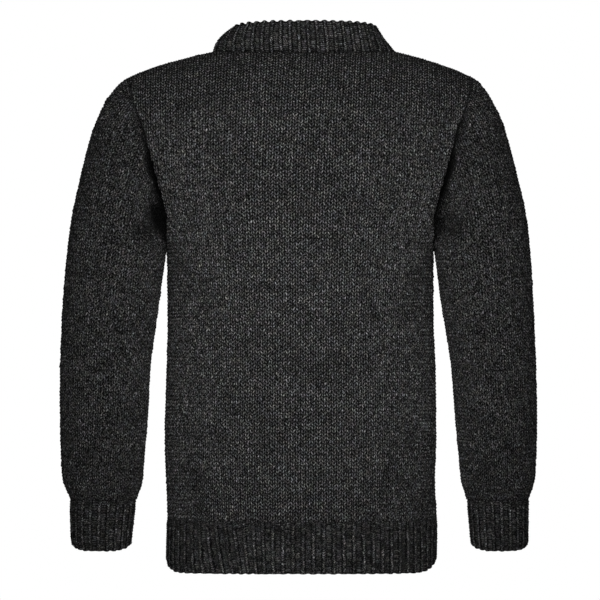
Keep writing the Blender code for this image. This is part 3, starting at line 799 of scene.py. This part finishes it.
def sleeveForm(side):
    turns = np.radians(np.arange(721) / 2)
    surface, normals, shade = sleeveSurface(side, turns)
    outer = surface[:, 0]
    along = np.concatenate([[0], np.cumsum(np.linalg.norm(np.diff(outer, axis=0), axis=-1))])
    levels = np.interp(np.linspace(0, along[-1], arm["levels"]), along, outer[:, 2])
    underarm = np.searchsorted(levels, torso["underarm"])
    halves, lengths, pitch, edge = {}, {}, {}, {}
    for half, columns in ((left, np.arange(361)), (right, np.arange(720, 359, -1))):
        cuts = levelCuts(surface, normals, shade, columns, levels)
        halves[half] = cuts
        lengths[half] = lengthAlong(np.hypot(np.diff(cuts[..., 0], axis=1), np.diff(cuts[..., 1], axis=1)))
        whole = lengths[half][:, -1] / arm["halfWales"]
        pitch[half] = np.where(np.arange(len(levels)) < underarm, whole, whole[underarm - 1])
        edge[half] = lengths[half][:, -1] / pitch[half]
    reach = arm["halfWales"] + 8
    wales = waleLines(reach)
    found = np.empty((len(levels), len(wales), 7))
    for v in range(len(levels)):
        leftWales, rightWales = (lengths[half][v] / pitch[half][v] for half in (left, right))
        points = np.concatenate([halves[left][v, :0:-1], halves[right][v]])
        found[v] = columnsAt(wales, np.concatenate([-leftWales[:0:-1], rightWales]), points)
    place, normal, shade = found[..., :3], unit(found[..., 3:6]), found[..., 6]
    edgeOf, pitchOf = bySide(wales, edge), bySide(wales, pitch)
    time = climb(place, abs(wales)[None, :] < edgeOf - 1e-9, reach * 4)
    near = np.clip(edgeOf - abs(wales)[None, :], 0, 99) * pitchOf

    # painted shade towards the cuff, and painted light on the cap and beside the armhole seam over the
    # shoulders
    shade *= 1 - shadeBy("overCuff", time)
    capShare, capOver = shading["cap"]
    shade *= 1 + capShare * ease((place[..., 2] - shading["capFrom"]) / capOver)
    shade *= seamShade(near, place[..., 2])
    (drawn, drawnOver), (drawnBack, backOver) = arm["drawn"], arm["drawnBack"]
    drawn = drawn * ease(1 - time / drawnOver) - drawnBack * ease(1 - time / backOver)
    return {
        "place": place - normal * drawn[..., None],
        "normal": normal,
        "time": time,
        "wales": wales,
        "edge": edge,
        "near": near,
        "shade": shade,
        "order": np.full(len(wales), arm["order"]),
    }


# ---- ribbed tubes: each rib has a knit stitch (columns 0 to 3) and a purl stitch (4 to 7)

rib = {
    "course": 0.0031,  # ribs are knitted tighter than the panels
    "profile": (0.3, 0.85, 1.0, 0.85, 0.3, -0.7, -1.0, -0.7),
    "rise": 0.0013,
    "insideRise": -0.35,  # inside, the ribs are shallower, and stand where they are hollow outside
    "lean": (0.4, 0.0, -0.4, 0.0, 0.4, 0.4, 0.4, 0.4),
    "crest": (0.0000, 0.0008, 0.0001, 0.0008, 0.0000, 0.0003, 0.0005, 0.0003),
    "groove": (-0.0006, 0.0000, -0.0005, 0.0000, -0.0006, -0.0003, -0.0002, -0.0003),
    "scallop": 0.0008,
    "scallopRows": 2.5,
    "scallopEach": (0.1, 1.3),
    "uneven": 0.00018,
    "seamFade": 0.012,  # the ribs run out over this length into a panel,
    "swell": (0.0004, 0.014),  # and meet it without a step
    "insideRows": 9,
    "gridRows": 60,
}


def readGrid(values):  # a tube's grid, to be read at shares of its length in every column
    def read(share):
        v = share * (len(values) - 1)
        low = np.clip(np.floor(v).astype(int), 0, len(values) - 2)
        part = (v - low)[..., None]
        columns = np.broadcast_to(np.arange(values.shape[1]), v.shape)
        return values[low, columns] * (1 - part) + values[low + 1, columns] * part
    return read


def ribOutside(grid, normals, length, seed, fadeTop, scalloped):
    # rows go from the tube's first edge to its last, and only one of them is scalloped
    count, columns = 2 * max(2, round(length / rib["course"])), grid.shape[1]
    rows, c = np.arange(count + 1), np.arange(columns)
    hold = ease(np.minimum(rows, count - rows) / 2)  # level rows at both ends
    profile, crest, groove, lean = (np.array(rib[key])[c % 8] for key in ("profile", "crest", "groove", "lean"))
    share = np.clip((rows[:, None] + 2 * lean[None, :] * hold[:, None]) / count, 0, 1)
    points, outwards = readGrid(grid)(share), readGrid(normals)(share)
    relief = np.where((rows % 2 == 0)[:, None], crest, groove)
    topFade = 1 - fadeTop * (1 - ease((1 - share) * length / rib["seamFade"]))
    random = np.random.RandomState(seed)
    spread = random.normal(0, 1, (count // 2 + 1, columns // 4 + 1, 3)) * rib["uneven"]
    jitter = spread[(rows // 2)[:, None], (c // 4)[None, :]]
    heights = (profile * rib["rise"])[None, :] * topFade + relief * (0.3 + 0.7 * hold[:, None])
    points = points + outwards * heights[..., None] + jitter
    swell, swellOver = rib["swell"]
    swell = swell * fadeTop * (1 - ease((1 - share) * length / swellOver))
    points = points + outwards * swell[..., None]
    fromEdge = rows if scalloped == "bottom" else count - rows
    away = -1 if scalloped == "bottom" else 1
    edgeStep = rib["scallop"] * away * np.exp(-fromEdge / rib["scallopRows"])
    each = random.uniform(*rib["scallopEach"], columns // 8 + 1)[c // 8]
    points[..., 2] += (profile * each)[None, :] * edgeStep[:, None]
    return points, np.stack([c[None, :] / 4 + 0 * share, share * count / 2], axis=-1)


def tubeShell(name, rows, uv, shade):  # rows close round, and the last joins the first
    count, columns = rows.shape[:2]
    faces = []
    for i in range(count):
        for j in range(columns):
            a, b = (i + 1) % count, (j + 1) % columns
            faces.append([i * columns + j, i * columns + b, a * columns + b, a * columns + j])
    uv = uv.reshape(-1, 2) + stitch["start"][1]
    shade = np.repeat(shade, columns)
    return makeMesh(name, rows.reshape(-1, 3), faces, uv, np.zeros(len(shade)), shade)


def roundedEdge(outerRow, innerRow, reach):  # the turned edge between the two sides
    turned = []
    for share, down in ((0.2, 0.7), (0.5, 1.0), (0.8, 0.7)):
        turned.append(innerRow * (1 - share) + outerRow * share - [0, 0, reach * down])
    return np.stack(turned)


def outwardNormals(grid, centre, row):
    normals = surfaceNormals(grid, closed=True)
    return normals * np.sign(((grid - centre) * normals)[row].sum())


def ribTube(name, grid, shape, seed):
    normals = outwardNormals(grid, grid.mean(axis=(0, 1)), len(grid) // 2)
    normals[..., 2] *= 0.3
    normals = unit(normals)
    columns = grid.shape[1]
    outer, uv = ribOutside(grid, normals, shape["length"], seed, shape["fadeTop"], "bottom")
    shares = np.linspace(1, 0, rib["insideRows"])[:, None] + np.zeros((1, columns))
    profile = rib["insideRise"] * np.array(rib["profile"])[np.arange(columns) % 8] * rib["rise"]
    inner = readGrid(grid)(shares) - readGrid(normals)(shares) * (shape["wall"] + profile)[None, :, None]
    rows = np.concatenate([outer, inner, roundedEdge(outer[0], inner[-1], shape["edge"])])
    innerUv = np.stack([np.arange(columns)[None, :] / 4 + 0 * shares, shares * 14], axis=-1)
    turnedUv = np.repeat(innerUv[-1:], 3, axis=0)
    return tubeShell(name, rows, np.concatenate([uv, innerUv, turnedUv]), np.ones(len(rows)))


cuff = {
    "ribs": 22,
    "wall": 0.0045,
    "length": 0.0663,
    "edge": 0.0016,  # how far the turned edge stands below the ribs
    "fadeTop": 0.75,
    "rings": table(
        ringColumns,
        (0.2996, 0.2980, -0.6573, 0.2268, 0.2284, -0.6573, -0.0280, 0.0375),
        (0.3020, 0.3000, -0.6490, 0.2252, 0.2266, -0.6490, -0.0275, 0.0385),
        (0.3036, 0.3006, -0.6300, 0.2232, 0.2248, -0.6300, -0.0260, 0.0400),
        (0.3040, 0.3010, -0.5910, 0.2185, 0.2212, -0.5910, -0.0230, 0.0415),
    ),
    "lift": table(  # of the free edge, from the outside of the arm round to the inside
        "turn lift", (0, 0.0062), (15, 0.0038), (35, 0.0012), (60, 0.0000), (120, 0.0000),
        (145, 0.0022), (165, 0.0052), (180, 0.0075),
    ),
}


def buildCuff(side):
    turns = np.linspace(0, 2 * math.pi, 721)
    rings, _ = ringPoints(cuff["rings"], turns, side)
    rings[0, :, 2] += smooth(cuff["lift"], "turn", "lift", np.degrees(np.arccos(np.cos(turns))))
    quarter = rings[:, 180, 2]
    heights = -(quarter - quarter[0]) / (quarter[0] - quarter[-1])
    at = np.interp(np.linspace(0, 1, rib["gridRows"]), heights, np.arange(len(rings)))
    fine = through(rings, at)
    along = lengthAlong(np.linalg.norm(np.diff(fine, axis=1), axis=-1))
    columns = cuff["ribs"] * 8
    wanted = np.arange(columns) / columns
    grid = np.stack([columnsAt(wanted, a / a[-1], row) for a, row in zip(along, fine)])
    return ribTube("knitCuffLeft" if side == left else "knitCuffRight", grid, cuff, 30 + side)


hem = {
    "wall": 0.0045,
    "length": 0.0672,
    "edge": 0.0016,
    "fadeTop": 0.75,
    "leanAt": 0.098,  # ribs pulled askew left of the middle of the back
    "leanSpread": 0.040,
    "lean": 0.014,
    "leanRound": 1.3,
    "outline": table(
        "turn left right",
        (0, -0.6823, -0.6823),
        (40, -0.6832, -0.6832),
        (60, -0.6838, -0.6836),
        (68, -0.6833, -0.6820),
        (75, -0.6812, -0.6782),
        (82, -0.6775, -0.6725),
        (90, -0.6700, -0.6640),
    ),
}


def buildHem():
    half = torso["sideWales"] * 8
    across = np.linspace(1, -1, panelGrid["columns"])
    turn = abs(np.degrees(evenTurns(across)))
    leftEdge, rightEdge = (smooth(hem["outline"], "turn", which, turn) for which in ("left", "right"))
    edges = np.where(across > 0, leftEdge, rightEdge)
    grid = np.empty((rib["gridRows"], half * 2, 3))
    wanted = np.arange(half) / 4 - torso["sideWales"]
    for v, rise in enumerate(np.linspace(0, 1, rib["gridRows"])):
        for face in (back, front):
            height = edges[::face] + (torso["hemSeam"] - edges[::face]) * rise
            x, y = torsoAt(across * face, height, face)
            row = np.stack([x, y, height], axis=-1)
            along = np.concatenate([[0], np.cumsum(np.linalg.norm(np.diff(row, axis=0), axis=-1))])
            along -= along[len(across) // 2]
            wale = np.where(along < 0, along / -along[0], along / along[-1]) * torso["sideWales"]
            if face == back:
                lean = hem["lean"] * np.exp(-(((x - hem["leanAt"]) / hem["leanSpread"]) ** 2))
                wale = wale - lean * (1 - rise) ** hem["leanRound"] / stitch["wale"]
            start = 0 if face == back else half
            grid[v, start:start + half] = columnsAt(wanted, wale, row)
    return ribTube("knitHem", grid, hem, 50)


# ---- neckband, knitted long and folded double

band = {
    "wales": {back: 40, front: 48},
    "depth": {back: 0.0470, front: 0.0820},  # of its top, from the shoulder line
    "wall": 0.0065,
    "topHalf": 0.0950,
    "topShift": -0.0060,
    "bulge": 0.0025,
    "bulgeLeft": 0.0025,
    "bulgeUp": 0.4,
    "length": 0.0450,
    "centre": (-0.0060, -0.02, 0.0),
    "fold": (20, 55, 90, 125, 160),  # degrees over the top
    "foldRise": 0.5,
    "footShade": (0.30, 0.45, 0.80),  # its seam lies in shadow
    "top": table(
        "round height", (0, 0.0377), (35, 0.0370), (60, 0.0352), (90, 0.0300), (120, 0.0080),
        (150, -0.0200), (180, -0.0300),
    ),
}


def bandForm():  # from the neckline up to the top, and how far the cloth bulges between them
    seam, around = [], []
    for face, wales in band["wales"].items():
        count = wales * 4
        fractions = np.linspace(1, -1, count + 1) * neckAcross()
        points = panelPoint(fractions, np.ones(count + 1), face)
        turn = evenTurns(1 - np.arange(count) * 2 / count, band["topHalf"], band["depth"][face])
        seam.append(points[::face][:-1])
        around.append(turn if face == back else math.pi + turn)
    seam, around = np.concatenate(seam), np.concatenate(around)
    depth = np.where(np.cos(around) > 0, band["depth"][back], band["depth"][front])
    degrees = abs(np.degrees((around + math.pi) % (2 * math.pi) - math.pi))
    edge = np.stack([band["topShift"] + band["topHalf"] * np.sin(around), depth * np.cos(around),
                     smooth(band["top"], "round", "height", degrees)], axis=-1)
    outwards = np.stack([np.sin(around), np.cos(around), band["bulgeUp"] + 0 * around], axis=-1)
    bulge = (band["bulge"] + band["bulgeLeft"] * np.sin(around))[:, None] * unit(outwards)
    rises = np.linspace(0, 1, 40)[:, None, None]
    return seam[None] + (edge - seam)[None] * rises + bulge[None] * 4 * rises * (1 - rises)


def buildBand():
    grid = bandForm()
    normals = outwardNormals(grid, np.array(band["centre"]), 20)
    inward = grid - normals * band["wall"]
    outer, uv = ribOutside(grid, normals, band["length"], 70, 0.0, "top")
    inner, innerUv = ribOutside(inward, -normals, band["length"], 71, 0.0, "top")
    inner, innerUv = inner[::-1], innerUv[::-1]
    middle, reach = (outer[-1] + inner[0]) / 2, (outer[-1] - inner[0]) / 2
    up = np.array([0, 0, band["wall"] * band["foldRise"]])
    fold = [middle + reach * math.cos(a) + up * math.sin(a) for a in np.radians(band["fold"])]
    rows = np.concatenate([outer, np.array(fold), inner])
    uv = np.concatenate([uv, np.repeat(uv[-1:], len(fold), axis=0), innerUv])
    shade = np.ones(len(rows))
    shade[:len(band["footShade"])] = band["footShade"]
    return tubeShell("knitNeckband", rows, uv, shade)


# ---- the wool

wool = {
    "base": 0.105,  # brightness of a stitch's crest
    "height": (0.15, 0.85, 0.01, 1.15),  # from, to, and the light in the gaps and on the crests
    "wander": 0.15,  # how far stitches stray, in stitches
    "strands": (0.30, 0.68, 0.35, 1.75),  # noise from, to, and the light there
    "fleckScale": 690.0,
    "flecks": (0.34, 0.67, 0.05, 2.5),
    "patchScale": 30.0,
    "patches": (0.30, 0.70, 0.94, 1.06),
    "clearOver": (6.0, 26.0),  # in stitches from the middle of a panel
    "yoke": (-0.16, -0.05),  # the stitches are clearer, and further apart, up to the shoulders, with painted shade in the gaps between them
    "yokeClear": 0.9,
    "yokeGap": 0.4,
    "tintScale": 115.0,
    "tint": (0.32, 0.28, 0.43),  # how far the yarn's colours wander
    "fuzzScale": 1500.0,
    "roughness": 0.95,
    "sheen": 0.03,
    "sheenRoughness": 0.6,
    "gloss": 0.04,
    "relief": 0.0011,
}

# shade: how dark each piece's copy of the one wool is painted, darker on the sleeves, hem, cuffs and band:
# painted shade;
# clear: how clear the stitches are, at the middle and at the sides; each: the light of the dullest and the
# lightest stitch;
# bars: the painted light of the purl stitches; ridge: the painted highlight on the knit stitches of a rib;
# fade: the courses between which the ridges run out
finishes = {
    "marledWool": {"shade": 0.93, "clear": (0.85, 0.60), "each": (0.70, 1.46)},
    "marledWoolSleeve": {"shade": 0.66, "clear": (0.60, 0.60), "each": (0.70, 1.46)},
    "marledWoolBand": {
        "shade": 0.69, "clear": (0.8, 0.8), "each": (0.50, 1.65),
        "bars": (0.30, 0.82), "ridge": 2.10, "fade": (60, 61),
    },
    "marledWoolHem": {
        "shade": 0.52, "clear": (0.75, 0.75), "each": (0.50, 1.65),
        "bars": (0.42, 0.64), "ridge": 2.30, "fade": (34, 42),
    },
    "marledWoolCuff": {
        "shade": 0.47, "clear": (0.75, 0.75), "each": (0.50, 1.65),
        "bars": (0.32, 0.76), "ridge": 2.40, "fade": (36, 42),
    },
}


class NodeMaker:  # short words for a material's nodes
    def __init__(self, tree):
        self.tree = tree

    def add(self, kind, **settings):
        made = self.tree.nodes.new(kind)
        for key, value in settings.items():
            setattr(made, key, value)
        return made

    def feed(self, values, sockets):
        for value, socket in zip(values, sockets):
            if isinstance(value, (int, float)):
                socket.default_value = value
            else:
                self.tree.links.new(value, socket)

    def maths(self, operation, *values):
        made = self.add("ShaderNodeMath", operation=operation)
        self.feed(values, made.inputs)
        return made.outputs[0]

    def times(self, a, b):
        return self.maths("MULTIPLY", a, b)

    def plus(self, a, b):
        return self.maths("ADD", a, b)

    def minus(self, a, b):
        return self.maths("SUBTRACT", a, b)

    def joined(self, x, y, z=0.0):
        made = self.add("ShaderNodeCombineXYZ")
        self.feed((x, y, z), made.inputs)
        return made.outputs[0]

    def split(self, vector):
        made = self.add("ShaderNodeSeparateXYZ")
        self.tree.links.new(vector, made.inputs[0])
        return made.outputs

    def scaledAdd(self, vector, factor, added):
        made = self.add("ShaderNodeVectorMath", operation="MULTIPLY_ADD")
        self.tree.links.new(vector, made.inputs[0])
        made.inputs[1].default_value = factor
        if isinstance(added, (tuple, list)):
            made.inputs[2].default_value = added
        else:
            self.tree.links.new(added, made.inputs[2])
        return made.outputs[0]

    def noise(self, vector, scale, detail=2.0, output="Fac"):
        made = self.add("ShaderNodeTexNoise")
        made.inputs["Scale"].default_value = scale
        made.inputs["Detail"].default_value = detail
        self.tree.links.new(vector, made.inputs["Vector"])
        return made.outputs[output]

    def wave(self, value):  # 1 at whole numbers, 0 half way between
        return self.plus(0.5, self.times(0.5, self.maths("COSINE", self.times(value, 2 * math.pi))))

    def span(self, value, low, high, start=0.0, end=1.0):
        made = self.add("ShaderNodeMapRange", interpolation_type="SMOOTHSTEP")
        self.feed((value, low, high, start, end), made.inputs)
        return made.outputs[0]

    def blend(self, share, a, b):
        made = self.add("ShaderNodeMix", data_type="FLOAT")
        self.feed((share, a, b), [made.inputs[key] for key in ("Factor", "A", "B")])
        return made.outputs["Result"]

    def attribute(self, name):
        return self.add("ShaderNodeAttribute", attribute_name=name).outputs["Fac"]


def stitchPattern(m, u, v, finish):
    # a stitch is a V: its legs rise from the middle of the wale out to the gaps
    ribbed = "bars" in finish
    middle = m.maths("ABSOLUTE", m.plus(m.maths("FRACT", u), -0.5))
    lifted = m.plus(m.plus(v, m.times(middle, -2.0)), 0.5)
    if ribbed:  # in a rib the two legs are drawn together
        leg = m.span(middle, 0.46, 0.12, 0.35, 1.0)
    else:
        fromLeg = m.times(m.maths("ABSOLUTE", m.plus(middle, -0.25)), 4.0)
        leg = m.plus(m.minus(1.0, m.times(fromLeg, fromLeg)), m.span(middle, 0.14, 0.0, 0.0, 0.08))
    knit = m.times(leg, m.plus(0.22, m.times(0.78, m.wave(lifted))))
    barLow, barHigh = finish["bars"] if ribbed else (0.34, 0.80)
    purl = m.plus(barLow, m.times(m.wave(m.plus(v, -0.4)), barHigh - barLow))
    ends = m.maths("POWER", m.times(middle, 2.0), 4.0)
    purl = m.times(purl, m.minus(1.0, m.times(ends, 0.3 if ribbed else 0.5)))
    if ribbed:
        purlShare = m.maths("GREATER_THAN", m.maths("FRACT", m.times(u, 0.5)), 0.5)
    else:
        purlShare = m.attribute("purl")
    side = m.blend(purlShare, m.maths("FLOOR", m.times(u, 2.0)), m.maths("FLOOR", u))
    each = m.maths("FLOOR", m.plus(m.blend(purlShare, lifted, v), 0.5))
    chance = m.add("ShaderNodeTexWhiteNoise", noise_dimensions="2D")
    m.tree.links.new(m.joined(side, each), chance.inputs["Vector"])
    return {
        "middle": middle,
        "lifted": lifted,
        "purl": purlShare,
        "height": m.blend(purlShare, knit, purl),
        "chance": chance.outputs["Value"],
    }


def yarnLight(m, place, pattern):  # strands within each stitch, flecks and soft patches
    strandsAt = m.joined(m.times(pattern["middle"], 6.0), m.times(pattern["lifted"], 1.8),
                         m.times(pattern["chance"], 50.0))
    light = m.span(m.noise(strandsAt, 1.0, 1.0), *wool["strands"])
    light = m.times(light, m.span(m.noise(place, wool["fleckScale"], 1.0), *wool["flecks"]))
    return m.times(light, m.span(m.noise(place, wool["patchScale"]), *wool["patches"]))


def paintedStitchShade(m, u, v, yoke, pattern, finish):  # painted shade in the gaps between stitches and painted light on their crests, where the nap lets the stitches show; random tufts elsewhere
    tufts = m.span(m.noise(m.joined(m.times(u, 2.0), v, 3.0), 2.2, 1.0), 0.30, 0.70)
    sideways = m.maths("ABSOLUTE", m.plus(u, -float(stitch["start"][0])))
    clear = m.span(sideways, *wool["clearOver"], *finish["clear"])
    clear = m.maths("MAXIMUM", clear, m.times(yoke, wool["yokeClear"]))
    return m.span(m.blend(clear, tufts, pattern["height"]), *wool["height"])


def ridgeLight(m, u, v, pattern, finish):  # painted highlight on a rib's knit stitches, which stand out as ridges, and painted shade on its purl stitches
    strength = m.span(m.noise(m.joined(m.times(u, 0.45), m.times(v, 0.10), 9.0), 1.0), 0.30, 0.62)
    strength = m.times(strength, m.span(v, *finish["fade"], 1.0, 0.0))
    raised = m.span(pattern["middle"], 0.34, 0.04, 0.7, finish["ridge"])
    return m.blend(pattern["purl"], m.blend(strength, 0.9, raised), 0.85)


def woolMaterial(name):
    finish = finishes[name]
    material = bpy.data.materials.new(name)
    material.use_nodes = True
    m = NodeMaker(material.node_tree)
    shader = material.node_tree.nodes["Principled BSDF"]
    uv = m.add("ShaderNodeUVMap", uv_map="knit").outputs["UV"]
    place = m.add("ShaderNodeTexCoord").outputs["Object"]
    wander = wool["wander"]
    strayed = m.split(m.scaledAdd(m.noise(uv, 1.3, 1.0, "Color"), (2 * wander, 2 * wander, 0), uv))
    u, v = m.plus(strayed[0], -wander), m.plus(strayed[1], -wander)

    pattern = stitchPattern(m, u, v, finish)
    yoke = m.span(m.split(place)[2], *wool["yoke"])
    least, most = finish["each"]
    light = m.plus(least, m.times(most - least, m.maths("POWER", pattern["chance"], 2.0)))
    light = m.times(light, yarnLight(m, place, pattern))
    light = m.times(light, paintedStitchShade(m, u, v, yoke, pattern, finish))
    if "bars" in finish:
        light = m.times(light, ridgeLight(m, u, v, pattern, finish))
    else:
        # painted shade in the gaps between the wales, up to the shoulders
        between = m.times(m.times(yoke, m.span(pattern["middle"], 0.34, 0.49)), wool["yokeGap"])
        light = m.times(light, m.minus(1.0, between))
    # the painted shade and light of the shade attribute, and each copy's painted darkness
    light = m.times(m.times(light, m.attribute("shade")), wool["base"] * finish["shade"])

    tint = m.scaledAdd(m.noise(place, wool["tintScale"], 3.0, "Color"), wool["tint"],
                       [1 - width / 2 for width in wool["tint"]])
    toned = m.add("ShaderNodeVectorMath", operation="SCALE")
    m.feed((tint, light), (toned.inputs[0], toned.inputs["Scale"]))
    bump = m.add("ShaderNodeBump")
    bump.inputs["Strength"].default_value = 1.0
    bump.inputs["Distance"].default_value = wool["relief"]
    fuzz = m.times(m.noise(place, wool["fuzzScale"]), 0.5)
    m.feed((m.plus(pattern["height"], fuzz),), (bump.inputs["Height"],))
    m.feed((toned.outputs[0], bump.outputs["Normal"]), (shader.inputs["Base Color"], shader.inputs["Normal"]))
    shader.inputs["Roughness"].default_value = wool["roughness"]
    shader.inputs["Specular IOR Level"].default_value = wool["gloss"]
    shader.inputs["Sheen Weight"].default_value = wool["sheen"]
    shader.inputs["Sheen Roughness"].default_value = wool["sheenRoughness"]
    return material


# ---- building

materials = {name: woolMaterial(name) for name in finishes}
pieces = {
    "back_panel": knitShell("knitBack", panelForm(back), 11),
    "front_panel": knitShell("knitFront", panelForm(front), 12),
    "sleeve_left": knitShell("knitSleeveLeft", sleeveForm(left), 13),
    "sleeve_right": knitShell("knitSleeveRight", sleeveForm(right), 14),
    "cuff_left": buildCuff(left),
    "cuff_right": buildCuff(right),
    "hem_rib": buildHem(),
    "neckband": buildBand(),
}
print("knitted pieces made")

cut = {  # material, slot, and the width, length and area of the cut that shows
    "back_panel": ("marledWool", "wool", 0.50, 0.66, 0.300),
    "front_panel": ("marledWool", "wool", 0.50, 0.60, 0.280),
    "sleeve_left": ("marledWoolSleeve", "wool", 0.40, 0.60, 0.190),
    "sleeve_right": ("marledWoolSleeve", "wool", 0.40, 0.60, 0.190),
    "cuff_left": ("marledWoolCuff", "wool_rib", 0.26, 0.066, None),
    "cuff_right": ("marledWoolCuff", "wool_rib", 0.26, 0.066, None),
    "hem_rib": ("marledWoolHem", "wool_rib", 0.96, 0.068, None),
    "neckband": ("marledWoolBand", "wool_rib", 0.56, 0.046, None),
}
for node, piece in pieces.items():
    material, slot, width, length, area = cut[node]
    piece.data.materials.append(materials[material])
    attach(piece, "root")
    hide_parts(node)

# ---- studio

studio = {
    "floor": -1.1,
    "floorSize": 6.0,
    "distance": 8.0,
    "frameWidth": 0.792,  # what the picture spans at the middle of the sweater
    "sensor": 36.0,
    "aim": (0.0007, 0.0, -0.3274),
    "keyPower": 8.0,
    "keySize": (0.6, 0.6),
    "keyAway": 1.15,
    "keyHeight": -0.16,
    "world": 0.12,
}


def buildFloor():
    bpy.ops.mesh.primitive_plane_add(size=studio["floorSize"], location=(0, 0, studio["floor"]))
    floor = bpy.context.object
    floor.name = "floor"
    paint = bpy.data.materials.new("paleFloor")
    paint.use_nodes = True
    shader = paint.node_tree.nodes["Principled BSDF"]
    shader.inputs["Base Color"].default_value = (0.9, 0.9, 0.9, 1)
    shader.inputs["Roughness"].default_value = 0.9
    shader.inputs["Specular IOR Level"].default_value = 0.0
    floor.data.materials.append(paint)


def buildWorld():  # white to look at, but faint as a light
    world = bpy.data.worlds.new("studio")
    bpy.context.scene.world = world
    world.use_nodes = True
    tree = world.node_tree
    shown = tree.nodes["Background"]
    shown.inputs["Color"].default_value = (1, 1, 1, 1)
    lit = tree.nodes.new("ShaderNodeBackground")
    lit.inputs["Strength"].default_value = studio["world"]
    mixed = tree.nodes.new("ShaderNodeMixShader")
    path = tree.nodes.new("ShaderNodeLightPath")
    tree.links.new(path.outputs["Is Camera Ray"], mixed.inputs[0])
    tree.links.new(lit.outputs[0], mixed.inputs[1])
    tree.links.new(shown.outputs[0], mixed.inputs[2])
    tree.links.new(mixed.outputs[0], tree.nodes["World Output"].inputs["Surface"])


def buildKey(name, face):  # one soft light on each side
    data = bpy.data.lights.new(name, "AREA")
    data.shape = "RECTANGLE"
    data.size, data.size_y = studio["keySize"]
    data.energy = studio["keyPower"]
    light = bpy.data.objects.new(name, data)
    bpy.context.scene.collection.objects.link(light)
    light.location = (0, face * studio["keyAway"], studio["keyHeight"])
    light.rotation_euler = Vector((0, -face * studio["keyAway"], 0)).to_track_quat("-Z", "Y").to_euler()


def buildCamera():
    data = bpy.data.cameras.new("camera")
    data.sensor_width = studio["sensor"]
    data.lens = studio["sensor"] * studio["distance"] / studio["frameWidth"]
    camera = bpy.data.objects.new("camera", data)
    bpy.context.scene.collection.objects.link(camera)
    camera.location = Vector(studio["aim"]) + Vector((0, studio["distance"], 0))
    camera.rotation_euler = Vector((0, -1, 0)).to_track_quat("-Z", "Y").to_euler()
    bpy.context.scene.camera = camera


buildFloor()
buildWorld()
buildKey("keyBack", back)
buildKey("keyFront", front)
buildCamera()
bpy.context.scene.view_settings.view_transform = "Standard"
print("studio set")
